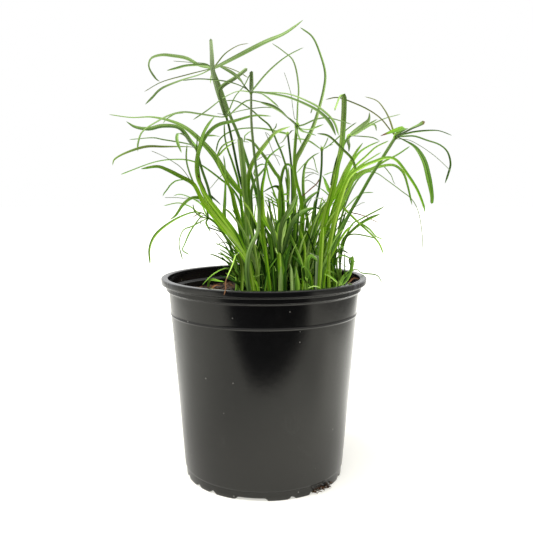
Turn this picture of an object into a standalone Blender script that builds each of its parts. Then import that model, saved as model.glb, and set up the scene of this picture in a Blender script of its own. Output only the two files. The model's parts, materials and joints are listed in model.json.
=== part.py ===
"""A young papyrus sedge in a black nursery pot.

Units are metres, with +Z up and -Y at the front. The origin is on the floor, under the middle of
the plant's whole spread. Shapes are built about the pot's axis and moved there at the end.
Lengths below are in millimetres and are scaled to metres when a mesh is made.

A stem or leaf follows a path of (x, z) points, as its course looks from the front on the plane
through the pot's axis, with its real depth in y given beside it. seen() slides each point along
the line of sight, so a course keeps its look from the front whatever its depth.
"""

import math

import bmesh
import bpy
from mathutils import Matrix, Vector

MM = 0.001

# Where the plant is seen from when its courses are read, in mm
EYE = Vector((2.1, -560.0, 238.0))

# Pot, in mm
POT_HEIGHT = 161.6
LIP_RADIUS = 82.5
LIP_DEPTH = 6.0
LIP_ROUND = 0.9
NECK_RADIUS = 78.6
NECK_TAPER = 0.8
LEDGE_HEIGHT = 1.6
NECK_BOTTOM = 150.6
BODY_TOP_RADIUS = 76.3
RIDGE_HEIGHT = 133.0
RIDGE_RISE = 0.6
RIDGE_SPREAD = 1.0
BASE_RADIUS = 65.2
BASE_CORNER_HEIGHT = 9.0
BASE_CHAMFER = 0.5
CORNER_ROUND = 1.4
WALL = 1.4
FOOT_RADIUS = 64.2
FOOT_WIDTH = 2.4
FOOT_DRAFT = 0.3
FLOOR_HEIGHT = 4.0
FLOOR_FILLET = 3.5
POT_SIDES = 40
SHARP_ANGLE = math.radians(35)

# Drain notches in the foot ring: middle and width in degrees, counted from the front towards +X
DRAIN_NOTCHES = (
    (-71, 5), (-53, 4), (-38, 4), (-8.5, 21), (19.8, 3), (45, 22),
    (70, 5), (110, 21), (141, 4), (165, 22), (-165, 4), (-130, 21), (-98, 4),
)
NOTCH_HEIGHT = 3.2
NOTCH_DEPTH = 12.0

# Soil, in mm
SOIL_TOP = 148.0
SOIL_GAP = 0.4
SOIL_FLAT_RADIUS = 70.0
SOIL_SAG = 1.6

# A piece that rests on or against another keeps this gap, in mm
GAP = 0.3

# Plant, in mm
BLADE_KEEL = 0.34
BLADE_THINNEST = 0.7
HUB_SWELL = 0.72
SPREAD = 1.8
SLIVER = 0.02
TURN_TO_FRONT = 1.5
SPAN = 22.0
SPAN_BEND = math.radians(24)
FEWEST_SPANS = 4
MOST_SPANS = 15
CURVE_STEPS = 12
LEAST_ACROSS = 0.4
HUB_DETAIL = 1

# The way that blades turn their upper face
PLANT_FACES = Vector((0.0, -0.85, 0.53))

# Colour and roughness of each material
POT_PLASTIC = ((0.022, 0.022, 0.023), 0.32)
SOIL = ((0.035, 0.020, 0.012), 0.95)
STEM_GREEN = ((0.075, 0.150, 0.030), 0.5)
BRACT_GREEN = ((0.070, 0.200, 0.045), 0.5)
LEAF_GREEN = ((0.130, 0.290, 0.030), 0.5)

# Stems: foot (x, y), crown depth, widths from foot to top, then the course with the crown last
STEMS = {
    "stem_1": ((7, 27), 22, (3.2, 3.0, 2.6), (
        (5, 165), (1, 190), (-3, 210), (-5.8, 227), (-10, 242), (-15.5, 260), (-21, 276),
        (-27, 290), (-33.5, 309), (-39.5, 323.5))),
    "stem_2": ((-11, -27), -18, (3.4, 4.4, 3.2, 2.8, 2.4, 2.2, 2.0), (
        (-13.6, 165), (-12.6, 178), (-9.8, 187), (-6.6, 193), (-4.4, 200), (-3.9, 210),
        (-3.8, 225), (-5, 236), (-6.5, 250), (-8, 263), (-9.8, 284), (-10, 305.5))),
    "stem_3": ((1, 22), 0, (2.6, 2.4, 2.0), (
        (0, 165), (-3, 185), (-7.3, 204.5), (-12, 216.5), (-17, 232), (-21, 248.4),
        (-23.9, 263.4), (-27.2, 279), (-29.4, 287.3))),
    "stem_4": ((-3, -7), -5, (2.8, 2.6, 2.2), (
        (-11.5, 166), (-15.5, 177), (-21, 187), (-28, 198), (-35.5, 209), (-41.5, 220),
        (-44.8, 233.4), (-49.5, 247.5), (-53.4, 262.6))),
    "stem_5": ((47, -21), -8, (4.2, 5.6, 4.6, 2.9, 2.8, 2.8, 2.8), (
        (47.5, 165), (50.3, 171.5), (54, 180.5), (58.5, 191.4), (62.4, 199.5), (66.2, 207.2),
        (71.8, 217.5), (78.3, 228.9), (84.8, 240.7), (93.2, 254.4), (103.4, 271))),
    "stem_6": ((24, 26), 28, (4.6, 4.6, 2.2, 2.0), (
        (26.3, 171.6), (31.4, 181), (36.8, 190), (40, 200), (41.3, 217.7), (44.2, 233.4),
        (45.8, 248), (46, 261.3))),
    "stem_7": ((27, -10), -25, (4.4, 4.2, 2.8, 2.6), (
        (26.6, 160), (27.2, 175), (30, 192), (31.2, 207), (29.5, 224), (26, 237), (24.2, 250),
        (24.8, 266), (25.9, 278.9))),
    "stem_8": ((25, 15), 14, (2.6, 2.2, 1.8), (
        (24, 172), (22.8, 190), (22.4, 205), (22.6, 221), (22.4, 238), (21.6, 252),
        (20.2, 264), (19.1, 273.3))),
    "stem_9": ((47, 18), 30, (2.8, 2.6, 2.4), (
        (47.5, 175), (50, 200), (53.5, 225), (57.5, 242), (60, 256), (62.5, 265), (66.3, 271.4))),
}

# Umbels: the stem each stands on, then its bracts as end depth, widths and course from the crown
UMBELS = {
    "umbel_1": ("stem_1", (
        (40, (2.4, 3.0, 2.6, 1.8), ((-50, 327.6), (-60, 333), (-71, 335), (-80, 335.6), (-88, 333),
                                    (-89.8, 326.3), (-85, 318), (-81.5, 315.3))),
        (8, (1.8, 2.8, 4.0), ((-45, 328), (-60, 327.6), (-69, 325.4), (-76, 323.7))),
        (24, (1.2, 1.0, 0.9), ((-50, 323), (-60, 320.5), (-80, 315), (-94, 307.5))),
        (-12, (1.6, 1.9, 1.7), ((-50, 320.8), (-64, 316.6), (-80, 310.2), (-88, 302.8),
                                (-93.5, 297.6))),
        (60, (1.4, 1.2, 0.9), ((-37.5, 328), (-30, 336.7), (-20, 342.7), (-11.7, 344.4))),
        (34, (2.6, 3.8, 4.8, 2.4), ((-36, 327), (-20, 335), (0, 345), (15, 351.3), (24, 357),
                                    (30.5, 362))),
        (-8, (1.2, 1.1, 0.9), ((-37, 327), (-30, 326.4), (-20, 322.8), (-12, 318))),
    )),
    "umbel_2": ("stem_2", (
        (-34, (2.6, 3.4, 1.8), ((-12.5, 309), (-17.8, 316.2), (-24.8, 322), (-33.7, 326.5),
                                (-37.5, 327.3))),
        (-62, (2.6, 3.2, 2.6), ((-9.8, 310), (-9.7, 317), (-9.8, 323.5))),
        (12, (1.4, 1.4, 1.1), ((-8.5, 309), (1, 320.3), (10.3, 329), (19.6, 335.6), (31, 341.3))),
        (-52, (1.8, 2.2, 3.0, 3.2), ((0, 306.8), (18.5, 303.5), (35.3, 296.9), (45.5, 290.7),
                                     (52.6, 283), (57, 273.5))),
        (-74, (1.6, 1.6, 1.2), ((-2.5, 306.2), (1.7, 303.9), (6, 300.6), (12, 295.5))),
        (-44, (1.2, 1.1, 0.9), ((-18, 312), (-30, 315.5), (-50, 317.3), (-64, 316))),
        (-6, (1.4, 1.3, 1.0), ((-20, 308), (-31.5, 303), (-44, 293.6), (-56, 285.8))),
    )),
    "umbel_3": ("stem_3", (
        (-10, (3.6, 4.6, 3.6, 2.4), ((-30.5, 291), (-33.5, 301), (-37, 312), (-40, 324),
                                     (-40.6, 336), (-41.3, 348))),
        (-31, (1.4, 1.6, 1.8, 1.4), ((-34, 288), (-49.6, 290.3), (-63, 291.9), (-74, 289.6),
                                     (-84.3, 284.5), (-95.7, 277), (-99.6, 268), (-100, 261))),
        (20, (1.6, 1.5, 1.0), ((-27, 289.5), (-20.3, 295.7), (-12, 300.9), (0, 299))),
        (44, (1.1, 1.0, 0.8), ((-24, 291.6), (-12.8, 294), (0, 295.5), (7, 295))),
        (26, (1.3, 1.2, 0.9), ((-27, 294), (-22.4, 304), (-15.5, 312), (-10.5, 321.5))),
        (-24, (2.0, 2.8, 3.0, 2.6), ((-30.5, 291), (-33, 300), (-35, 307.5), (-31.5, 312.5),
                                     (-22.6, 318), (-12.8, 325.4))),
    )),
    "umbel_4": ("stem_4", (
        (-46, (1.8, 2.4, 3.0, 2.4), ((-60, 265), (-79, 265), (-93.3, 265), (-107.8, 260.8),
                                     (-118.2, 255.4), (-120.4, 250.2))),
        (-14, (1.2, 1.1, 0.9), ((-60.3, 267.2), (-79.8, 270.5), (-88.3, 271.9), (-106.7, 270.5))),
        (22, (2.6, 4.0, 4.2, 2.0), ((-58, 269), (-66.5, 279.5), (-79.6, 281.2), (-91, 278.9),
                                    (-101.5, 280.3), (-108.8, 284.7))),
        (-74, (2.2, 3.0, 2.0), ((-57, 267), (-62, 273.5), (-67.5, 275.5), (-68.8, 270),
                                (-65.3, 260))),
    )),
    "umbel_5": ("stem_5", (
        (24, (1.6, 1.4, 1.1), ((102.5, 277), (98.9, 286.8), (94.4, 294.6), (88.6, 300.8),
                               (79, 303.9))),
        (8, (1.5, 1.3, 1.0), ((101, 276.5), (92.3, 286.8), (82, 293.8), (70.2, 299.1),
                              (58.3, 303), (48.5, 301.5))),
        (-34, (3.8, 5.0, 5.4), ((108, 275), (116, 279.5), (122, 282), (127.3, 284.3))),
        (-54, (2.6, 4.6, 4.4, 2.8), ((107, 276.4), (112, 280), (107, 278.6), (99.5, 276),
                                     (92, 273.2))),
        (12, (1.4, 1.6, 1.7, 1.0), ((110, 274.4), (118.8, 276.5), (130.4, 277.6), (139.2, 277.2),
                                    (149, 273.6))),
        (-22, (1.5, 1.9, 1.9, 1.4), ((110.2, 273), (119, 273.2), (129.3, 269.9), (139.1, 266.6),
                                     (145.6, 261), (148.4, 252.1), (147.1, 244.6), (144.5, 236))),
        (-48, (1.6, 2.4, 3.8, 4.0, 2.2), ((110.2, 270.5), (120.1, 264.6), (127.2, 254.3),
                                          (131.2, 241.1), (134.3, 226.8), (134.4, 219.7))),
    )),
    "umbel_6": ("stem_6", (
        (6, (1.8, 2.5, 1.2), ((43.2, 264.6), (36.5, 269), (29, 271), (22, 270.7))),
        (54, (1.4, 1.3, 1.0), ((49.6, 264.3), (55.8, 269.3), (65.8, 278.5), (73.3, 284))),
        (66, (1.2, 1.1, 0.9), ((48, 265.5), (49.9, 269.6), (51, 272.5))),
    )),
    "umbel_7": ("stem_7", (
        (-52, (3.2, 3.8, 2.0), ((22.7, 285), (16, 290.7), (7.2, 296.1), (-5, 300.3))),
        (-2, (1.4, 1.3, 1.1), ((26.3, 285), (26.6, 296.5), (27.2, 312), (23.4, 330.3),
                               (15, 338.5), (6.2, 344.5))),
        (-34, (1.4, 1.2, 1.0), ((31.1, 281.9), (42, 286.5), (52.7, 287), (69.7, 282.3))),
        (-60, (1.6, 2.0, 1.4), ((30, 279), (36.5, 278.5), (47.3, 282.4))),
        (-76, (1.6, 2.0, 1.4), ((30, 277.3), (34.3, 275.9), (41.5, 273.6))),
        (-66, (1.6, 1.6, 1.2), ((26.4, 276), (27.8, 272.5), (29.8, 266.7))),
    )),
    "umbel_8": ("stem_8", (
        (40, (2.0, 2.0, 1.7, 1.1), ((12.6, 276.3), (-4.6, 279.4), (-22.4, 278.1), (-34.5, 271.2),
                                    (-38.3, 260))),
        (48, (1.8, 2.0, 1.3), ((17, 272), (15.1, 269.2), (10.9, 266.5))),
        (-12, (1.6, 1.6, 1.2), ((20.5, 275.5), (22.3, 277.6), (24.8, 278))),
    )),
    "umbel_9": ("stem_9", (
        (62, (2.6, 5.6, 5.2, 2.6), ((70.5, 275.2), (75.5, 278.8), (80, 282.3), (83, 286.5),
                                    (83.2, 291.9))),
        (38, (1.8, 2.6, 1.8), ((71, 274.6), (78, 279), (84, 283), (89.7, 286.4))),
        (8, (1.6, 2.6, 2.2, 1.8), ((72, 274.4), (79, 278.6), (85, 282), (88, 281.5),
                                   (89, 276.9))),
        (24, (1.2, 1.1, 0.9), ((70, 273.4), (80, 279.4), (94.2, 286.4), (107.9, 290.3))),
        (54, (2.2, 3.0, 2.4), ((66.6, 269.4), (67.6, 265.5), (67.4, 260.6))),
        (14, (1.2, 1.1, 0.9), ((70, 273.4), (81.4, 272.7), (87, 271.8), (91.8, 269.4))),
    )),
}

# Single leaves: foot (x, y), depths and widths from foot to tip, then the course above the foot
LEAVES = {
    "leaf_left_high": ((-8, 13), (12, 9, 4, 20), (2.6, 2.6, 3.4, 5.0, 4.2, 2.6, 1.4), (
        (-14.5, 172), (-16.4, 190), (-15.6, 205), (-13, 216), (-14.8, 225), (-20.1, 230.9),
        (-26.5, 238.5), (-33, 247.6), (-38.7, 257), (-47.8, 267.5), (-60, 278.4), (-72, 284.5),
        (-88, 288), (-104.8, 287.7), (-122, 290))),
    "leaf_left_curled": ((-4, -15), (-15, -15, -15, -16), (2.8, 4.2, 4.6, 3.0, 2.8, 2.4), (
        (-10.5, 167), (-14.6, 179), (-22.6, 195), (-36, 213), (-43.5, 222.5), (-49, 231.5),
        (-52.6, 240), (-53.6, 248.8), (-52.5, 259), (-48.5, 273.4), (-44, 282), (-38.5, 289))),
    "leaf_left_crossing": ((-8, -11), (-10.5, -10.5, -10, -9), (2.6, 3.2, 3.0, 2.8, 2.8, 1.2), (
        (-11.5, 166), (-15.4, 178), (-23.5, 193), (-36, 209), (-45.4, 222.5), (-50.5, 235),
        (-52.6, 248.8), (-51.8, 260), (-48, 269.7), (-42.2, 277.6), (-34.7, 282.5), (-22.6, 285.2),
        (-7.8, 289.1), (6, 288.7))),
    "leaf_left_low": ((-12, 22), (21, 19, 16, 36), (2.0, 2.0, 1.8, 1.6, 1.6, 1.2), (
        (-14.5, 172), (-16.6, 190), (-17.5, 208), (-19.5, 222), (-26, 232.4), (-34.1, 239.1),
        (-45.6, 247.8), (-55, 253), (-67.4, 255), (-86.7, 252.9), (-114.2, 243))),
    "leaf_left_arching": ((-7, -20), (-20, -20, -22, -52), (2.8, 4.0, 4.6, 3.2, 3.0, 1.4), (
        (-11.5, 167), (-16.4, 179), (-25.5, 192), (-39.8, 209.5), (-48.6, 221), (-53.6, 231.5),
        (-57.6, 236.8), (-66.8, 241.7), (-76.7, 246.7), (-85, 249.4), (-98, 247.4))),
    "leaf_left_upright": ((-11, 2), (2, 3, 2, 0), (2.0, 2.0, 1.8, 1.6, 1.5, 1.2), (
        (-13.5, 170), (-19, 183), (-30, 199), (-41.6, 213), (-49.8, 226), (-55.4, 235),
        (-60.1, 247.4), (-61.6, 256.4), (-60.8, 266.7))),
    "leaf_forked": ((-15, 9.5), (9, 6, -3, 2), (2.6, 3.0, 4.0, 4.0, 2.4, 1.6, 1.0), (
        (-15, 172), (-17.8, 192), (-20.2, 207), (-23.2, 218), (-25.6, 229), (-29.6, 237.5),
        (-34, 246), (-36.8, 255), (-35.6, 261), (-31.3, 266.6), (-22, 270.5))),
    "leaf_slender_left": ((-8, 17), (17, 16, 12, 8), (1.8, 1.8, 1.8, 1.8, 1.2), (
        (-12, 175), (-14.6, 190), (-16.4, 205), (-18, 222), (-20.6, 238), (-25.1, 253),
        (-28.8, 263.4), (-30.9, 273), (-31.3, 283.5))),
    "leaf_centre_broad": ((-8, 6), (6, 2, -6, -8), (2.8, 3.2, 4.4, 4.8, 4.6), (
        (-12, 172), (-13, 190), (-13.4, 206), (-13.8, 218), (-15.2, 230), (-16, 243),
        (-17.6, 259.2), (-19, 272.6))),
    "leaf_centre_bright": ((-3, 9), (8, 4, -8, -22), (2.4, 2.4, 2.8, 3.4, 3.4, 2.0), (
        (-8.6, 175), (-10, 195), (-11.4, 215), (-12.6, 232), (-11.5, 245), (-7.2, 255.4),
        (0.9, 266.3), (9.3, 275.9), (21, 280.8))),
    "leaf_dark_upright": ((-6, -2), (-2, -1, 2, 8), (2.4, 2.6, 3.2, 3.0, 1.6, 1.0), (
        (-11, 165), (-15.5, 176), (-22.5, 189), (-29, 199.5), (-31.7, 210), (-31.2, 223),
        (-30.6, 237), (-30.8, 248), (-32, 258.3))),
    "leaf_crossing_left": ((16, 3), (3, 4, 3, 0), (2.4, 2.6, 2.6, 2.8, 2.6, 1.4), (
        (16.4, 175), (16, 200), (15.4, 222), (12.6, 238.9), (8.8, 244.8), (3, 253.8),
        (-3.3, 262.1), (-9.6, 269.2), (-16.2, 271.3))),
    "leaf_long_arch": ((21, 8), (8, 6, 0, -10), (2.0, 2.0, 2.2, 1.6, 1.4, 1.0), (
        (22.6, 163.8), (20, 177), (19.4, 200), (19.2, 225), (18.4, 245), (14.3, 259.6),
        (10.5, 268.3), (5, 280.5), (-2.3, 287), (-11.7, 295), (-21.7, 300.3), (-31, 300.7))),
    "leaf_tall_arch": ((24, 2), (3, 0, -6, -4, 10), (2.4, 2.8, 3.2, 4.8, 3.8, 2.6, 1.4), (
        (24.4, 175), (25, 200), (24.4, 225), (24.4, 250), (29.6, 262.5), (38, 278.3),
        (43.2, 293.7), (47.2, 310.2), (48, 322), (44.3, 335.4), (38, 349), (28.2, 356.4))),
    "leaf_bright_bowed": ((4, -12), (-10, -9, -9, 2), (2.4, 3.0, 3.6, 2.8, 1.9, 1.2), (
        (2.6, 168.4), (0.8, 182.2), (-1.2, 200), (-1.2, 218), (-1.6, 231.3), (0.7, 244),
        (2.5, 254.2), (7.6, 260.5), (16.8, 266.3))),
    "leaf_short_crossing": ((-4, 3), (2, -3, -14, -20), (2.2, 2.4, 2.5, 1.4), (
        (-8, 185), (-9.4, 210), (-10.2, 228), (-6.9, 239), (-2.3, 244.4), (4, 252))),
    "leaf_hooked": ((13, -12), (-12, -14, -13, -20), (2.6, 2.8, 2.8, 2.6, 1.8), (
        (13.4, 170), (12.8, 195), (12.3, 212), (12.8, 230), (14.7, 244), (17.6, 250.6),
        (20.6, 250.6), (22.8, 246.5))),
    "leaf_folded_left": ((16, -6), (-5, -4, -3, -20), (2.6, 2.8, 3.0, 3.2, 1.8), (
        (16, 170), (15.4, 195), (14.6, 215), (13.4, 229), (10.4, 233.7), (5.4, 232.6),
        (-1.5, 228.5))),
    "leaf_thin_left": ((12, 7), (6, 6, 10, 16), (1.8, 1.7, 1.6, 1.1), (
        (13, 180), (12.8, 203), (11.2, 219), (8.7, 227), (6, 234.5), (3.6, 242), (2, 251))),
    "leaf_dark_right": ((30, 6), (6, 6, 10), (2.4, 3.0, 3.6, 2.6), (
        (27, 172), (26, 192), (26.2, 207), (30.8, 217.3), (35.9, 224.1), (45, 231))),
    "leaf_slim_right": ((36, 12), (12, 11, 11, 20), (2.2, 2.4, 2.8, 2.4, 1.3), (
        (38, 175), (36, 200), (32.3, 222), (31.3, 238), (33.1, 250.8), (38.5, 257.1),
        (44.2, 260.4))),
    "leaf_folded_tip": ((38, -14), (-14, -13, -12, -6, -20), (3.6, 4.4, 4.6, 4.4, 4.2, 3.8), (
        (43, 158), (46, 172), (46.6, 190), (49, 208), (52.6, 222.2), (56.5, 238), (58.5, 251),
        (61.4, 263.1), (62.7, 281.9), (63.2, 298), (62.6, 304.6), (60.2, 303.6), (58.2, 298.6),
        (56, 292.8))),
    "leaf_right_middle": ((23, -6), (-6, -6, -7, -18), (2.8, 4.8, 5.6, 4.8, 3.0, 1.6), (
        (24.8, 172), (29.6, 182), (36, 193), (41.6, 204), (48.3, 215.7), (55, 224.4), (60, 233.6),
        (64.4, 244.6), (68.2, 251.6), (73.1, 260.6), (78.5, 268.1))),
    "leaf_right_back": ((44, 1), (1, 2, 3, 16), (2.6, 3.0, 3.0, 2.4, 1.3), (
        (47, 172), (50, 192), (54, 210), (59, 225), (64, 238), (69.5, 251), (75.6, 260.2),
        (83.5, 265.6), (91.9, 269.2))),
    "leaf_right_crossing": ((48, -8), (-12, -14, -22, -36), (2.4, 2.8, 2.6, 2.2, 1.3), (
        (50, 175), (54, 195), (60.4, 214), (67, 229), (72.6, 243), (70.5, 254.5), (62, 263.5),
        (51.6, 273.1), (42, 275.3))),
    "leaf_right_slender": ((49, 13), (13, 14, 18, 36), (2.4, 2.6, 2.4, 1.9, 1.1), (
        (51, 178), (54.6, 200), (59.6, 222), (66.1, 240.4), (73.7, 250.6), (81.3, 257.6),
        (88.9, 264.6), (99, 269.6))),
    "leaf_right_thin": ((52, 18), (18, 19, 24, 50), (1.8, 1.8, 1.6, 1.1), (
        (53, 185), (57, 212), (64, 235), (70.9, 245.3), (79.7, 252.2), (93, 260.6))),
    "leaf_right_rising": ((43, 8), (8, 8, 12, 40), (2.4, 2.8, 3.0, 2.6, 1.7, 1.1), (
        (48, 182), (52.6, 204), (59, 222), (66.6, 236.2), (76.7, 244.6), (86.9, 248.2),
        (97.4, 254.4), (106.2, 258.8), (115.8, 265.3))),
    "leaf_right_drooping": ((51, -25), (-25, -25, -26, -46), (2.6, 3.0, 2.8, 3.0, 2.8, 1.4), (
        (52.4, 178), (55.6, 200), (61, 222), (68, 241), (78.5, 249.2), (88.6, 253.6),
        (97.5, 256.4), (105.3, 254.4), (114.2, 243.5), (122, 232), (127.3, 220.1),
        (129.3, 212.7))),
    "leaf_right_lower": ((54, -4), (-4, -4, -2, -14), (2.6, 3.0, 3.0, 2.4, 2.6, 1.4), (
        (55, 182), (57.6, 205), (63, 226), (71, 238), (79.3, 244.4), (90, 248.6), (99.1, 250.6),
        (105.4, 249.6), (111.2, 244), (114.8, 234), (118.6, 218.9))),
    "leaf_right_hanging": ((56, 6), (6, 8, 20, 56), (1.8, 1.8, 1.5, 1.2, 1.3, 0.9), (
        (59, 190), (63, 212), (70, 231), (79, 243.4), (88.6, 244.6), (99, 238), (110, 230),
        (118.3, 223.5), (123.8, 213.9), (127, 199), (128.6, 182))),
    "leaf_right_bent": ((57, -12), (-12, -8, -8, -24), (2.2, 2.4, 2.4, 2.2, 1.2), (
        (56, 180), (55.4, 200), (56.6, 215), (59.8, 220), (65, 215.4), (75.2, 205.5),
        (86.4, 195.3), (93, 187.7), (96.7, 179))),
    "leaf_over_rim": ((-17, -31), (-36, -46, -66, -82.5), (1.8, 2.4, 2.6, 1.8, 0.9), (
        (-17.6, 166), (-19.8, 177.4), (-22.6, 178.2), (-25.6, 169.8), (-29.4, 161.5),
        (-31.4, 155.5), (-31.1, 151.3), (-32.6, 145.4))),
}

# Tillers: foot (x, y), depth at the top of the stalk, the stalk's widths and course, then each
# short leaf that grows from the stalk's top as end depth, widths and course
TILLERS = {
    "tiller_left_low": ((-19, 2), 0, (2.6, 2.4, 2.0), (
        (-21, 167), (-24, 176), (-27.8, 187.5), (-33, 196.5), (-39, 204.5), (-44.6, 208.6)), (
        (26, (1.3, 1.3, 0.9), ((-47.5, 214), (-50, 219.4), (-57.7, 224.3), (-66.8, 227.4),
                               (-72.5, 226))),
        (-18, (1.4, 2.0, 2.5, 1.6), ((-46, 217), (-50, 224.2), (-57.7, 224.5), (-64.5, 219.4),
                                     (-70.8, 210.5), (-75.9, 207))),
        (40, (1.3, 1.1, 0.9), ((-50.1, 209.8), (-57.3, 216.5), (-67.9, 220.5), (-80.4, 218.2))),
        (-30, (1.4, 1.6, 2.2, 1.2), ((-50, 212.6), (-58.9, 212.6), (-73.3, 206.2), (-86.5, 195.9),
                                     (-92.2, 184.5), (-92.1, 170.4))),
        (14, (1.2, 1.1, 1.0), ((-49, 206.4), (-58.1, 201.6), (-65, 198.5), (-68.4, 188),
                               (-65.7, 174.5))),
        (-52, (1.1, 1.0, 1.4, 0.8), ((-48.4, 210.4), (-51.8, 208.1), (-59.3, 197.5), (-64, 187.1),
                                     (-65.7, 182.5), (-59.7, 178.6))),
        (-14, (1.4, 1.6, 1.1), ((-46.4, 204.9), (-45.1, 201.5), (-42.5, 196.8))),
        (-44, (2.0, 2.5, 1.4), ((-50, 209.4), (-55.2, 213.4), (-56.8, 219.4))),
    )),
    "tiller_centre": ((15, -19), -20, (3.4, 3.0), ((13.7, 158), (12.6, 170)), (
        (-27, (2.6, 3.0, 3.6, 2.2), ((10.6, 182), (6.8, 199.6), (3.9, 207), (2.7, 215))),
        (-36, (2.8, 3.2, 3.6, 3.0), ((12.4, 188), (14.3, 203), (18.5, 211.8), (22.8, 218.6),
                                     (26.8, 228.4))),
        (-25, (2.2, 2.8, 3.4, 3.0), ((17.6, 188), (22.6, 204), (28, 211.2), (34, 215.4),
                                     (40.6, 217.3))),
    )),
    "tiller_left": ((-22, -14), -15, (3.4, 3.0), ((-21.7, 152), (-21.6, 159)), (
        (-46, (1.8, 2.4, 2.4, 1.2), ((-22, 162), (-26.7, 166.9), (-33.6, 166.7), (-42.3, 161.9),
                                     (-50.1, 154.1))),
        (-10, (1.5, 1.4, 1.0), ((-22.4, 165), (-24.9, 173.8), (-29.4, 177), (-38.6, 180.7))),
    )),
    "tiller_front": ((35, -30), -30, (3.4, 3.0), ((34.6, 151), (34.2, 158)), (
        (-46, (1.8, 2.0, 1.4), ((33, 158), (31, 167.4), (33.9, 168.4), (37.2, 163.4),
                                (38.5, 156.8))),
        (-34, (2.4, 3.4, 3.0), ((35.4, 160), (35, 172), (37.3, 178.2), (41, 176.3),
                                (43.7, 172.4))),
    )),
    "tiller_right": ((60, -26), -26, (4.0, 3.2), ((61.4, 150), (61.8, 153.4)), (
        (-20, (2.2, 3.0, 1.8), ((63, 157), (65, 161.6), (69.3, 166.5))),
        (-2, (2.0, 2.4, 3.2, 2.6), ((67, 158), (70.3, 165), (71.4, 173), (70.6, 177.4),
                                    (69, 174.4), (69.9, 169.6))),
        (16, (1.3, 1.2, 1.2, 0.9), ((65.6, 160), (73.9, 167), (79.9, 163.8), (91.3, 162.2),
                                    (96, 155.9))),
        (-34, (1.4, 1.5, 1.0), ((59.2, 167), (59.4, 176.4), (65.1, 178.1), (74.8, 172.4))),
    )),
    "tiller_right_front": ((58, -38), -38, (2.6, 2.4), ((59.4, 151), (60, 156)), (
        (-50, (1.6, 2.0, 1.2), ((59.6, 160.6), (56.6, 164.0), (51, 166.6))),
        (-32, (1.4, 1.5, 1.0), ((57, 158.6), (53, 161.6), (48.6, 163.3))),
    )),
    "tiller_right_side": ((61, 2), 2, (3.0, 2.8), ((61.4, 158), (61.6, 166)), (
        (26, (1.6, 1.5, 1.2), ((62, 175), (64.6, 189), (70.6, 203), (77, 207.2), (83.4, 210.7),
                               (96.6, 217.6))),
        (-4, (1.7, 1.8, 2.4, 2.2), ((61.6, 172), (63.3, 189.6), (69.8, 197.2), (77.4, 203.8),
                                    (85.1, 208.3), (93.7, 211.9))),
        (-26, (1.4, 1.3, 1.0), ((62.4, 178), (66, 192), (71.1, 195.4), (79.8, 194.6),
                                (90, 192.1))),
        (46, (1.4, 1.4, 1.0), ((60.4, 190), (62.9, 211), (71.1, 222.2), (78.8, 228.1),
                               (87.7, 228.9))),
    )),
}

# Blade and stem sections: across, then towards the back of the section, for a half width of 1
BLADE_SECTION = ((-1.0, 0.0), (1.0, 0.0), (0.0, -1.0))
STEM_SECTION = ((-0.87, 0.5), (0.87, 0.5), (0.0, -1.0))


def clear_scene():
    """Removes what a new Blender file starts with."""
    for thing in list(bpy.data.objects):
        bpy.data.objects.remove(thing, do_unlink=True)


def material(name, colour, roughness):
    """A Principled BSDF material of one colour."""
    made = bpy.data.materials.new(name)
    made.use_nodes = True
    shader = made.node_tree.nodes["Principled BSDF"]
    shader.inputs["Base Color"].default_value = (*colour, 1.0)
    shader.inputs["Roughness"].default_value = roughness
    shader.inputs["Metallic"].default_value = 0.0
    made.diffuse_color = (*colour, 1.0)
    return made


def add_object(name, mesh, finish):
    """Puts a mesh in the scene under a name, with its material."""
    mesh.name = name
    mesh.materials.clear()
    mesh.materials.append(finish)
    made = bpy.data.objects.new(name, mesh)
    bpy.context.scene.collection.objects.link(made)
    return made


def evaluated_mesh(thing):
    """The mesh of an object with its modifiers applied."""
    graph = bpy.context.evaluated_depsgraph_get()
    return bpy.data.meshes.new_from_object(thing.evaluated_get(graph))


def combined(base, others, operation):
    """One mesh from a base mesh and the others, by an exact Boolean."""
    holder = bpy.data.collections.new("others")
    bpy.context.scene.collection.children.link(holder)
    body = bpy.data.objects.new("base", base)
    bpy.context.scene.collection.objects.link(body)
    helpers = [bpy.data.objects.new("other", mesh) for mesh in others]
    for helper in helpers:
        holder.objects.link(helper)
    boolean = body.modifiers.new("Combine", "BOOLEAN")
    boolean.operation = operation
    boolean.operand_type = "COLLECTION"
    boolean.collection = holder
    result = evaluated_mesh(body)
    for helper in [body, *helpers]:
        bpy.data.objects.remove(helper, do_unlink=True)
    bpy.data.collections.remove(holder)
    return tidied(result)


def tidied(mesh):
    """The mesh without the hair-thin slivers that a union of crossing blades can leave."""
    shape = bmesh.new()
    shape.from_mesh(mesh)
    bmesh.ops.triangulate(shape, faces=shape.faces)
    bmesh.ops.remove_doubles(shape, verts=shape.verts, dist=SLIVER * MM)
    bmesh.ops.dissolve_degenerate(shape, edges=shape.edges, dist=SLIVER * MM)
    shape.to_mesh(mesh)
    shape.free()
    return mesh


def seen(x, z, y):
    """The point at depth y that looks, from the front, to be at (x, z) on the pot's axis plane."""
    share = (y - EYE.y) / -EYE.y
    return EYE + (Vector((x, 0.0, z)) - EYE) * share


def at(values, share):
    """The value at a share from 0 to 1 of a row of evenly spaced ones."""
    place = min(max(share, 0.0), 1.0) * (len(values) - 1)
    low = min(int(place), len(values) - 2)
    return values[low] + (values[low + 1] - values[low]) * (place - low)


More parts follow.
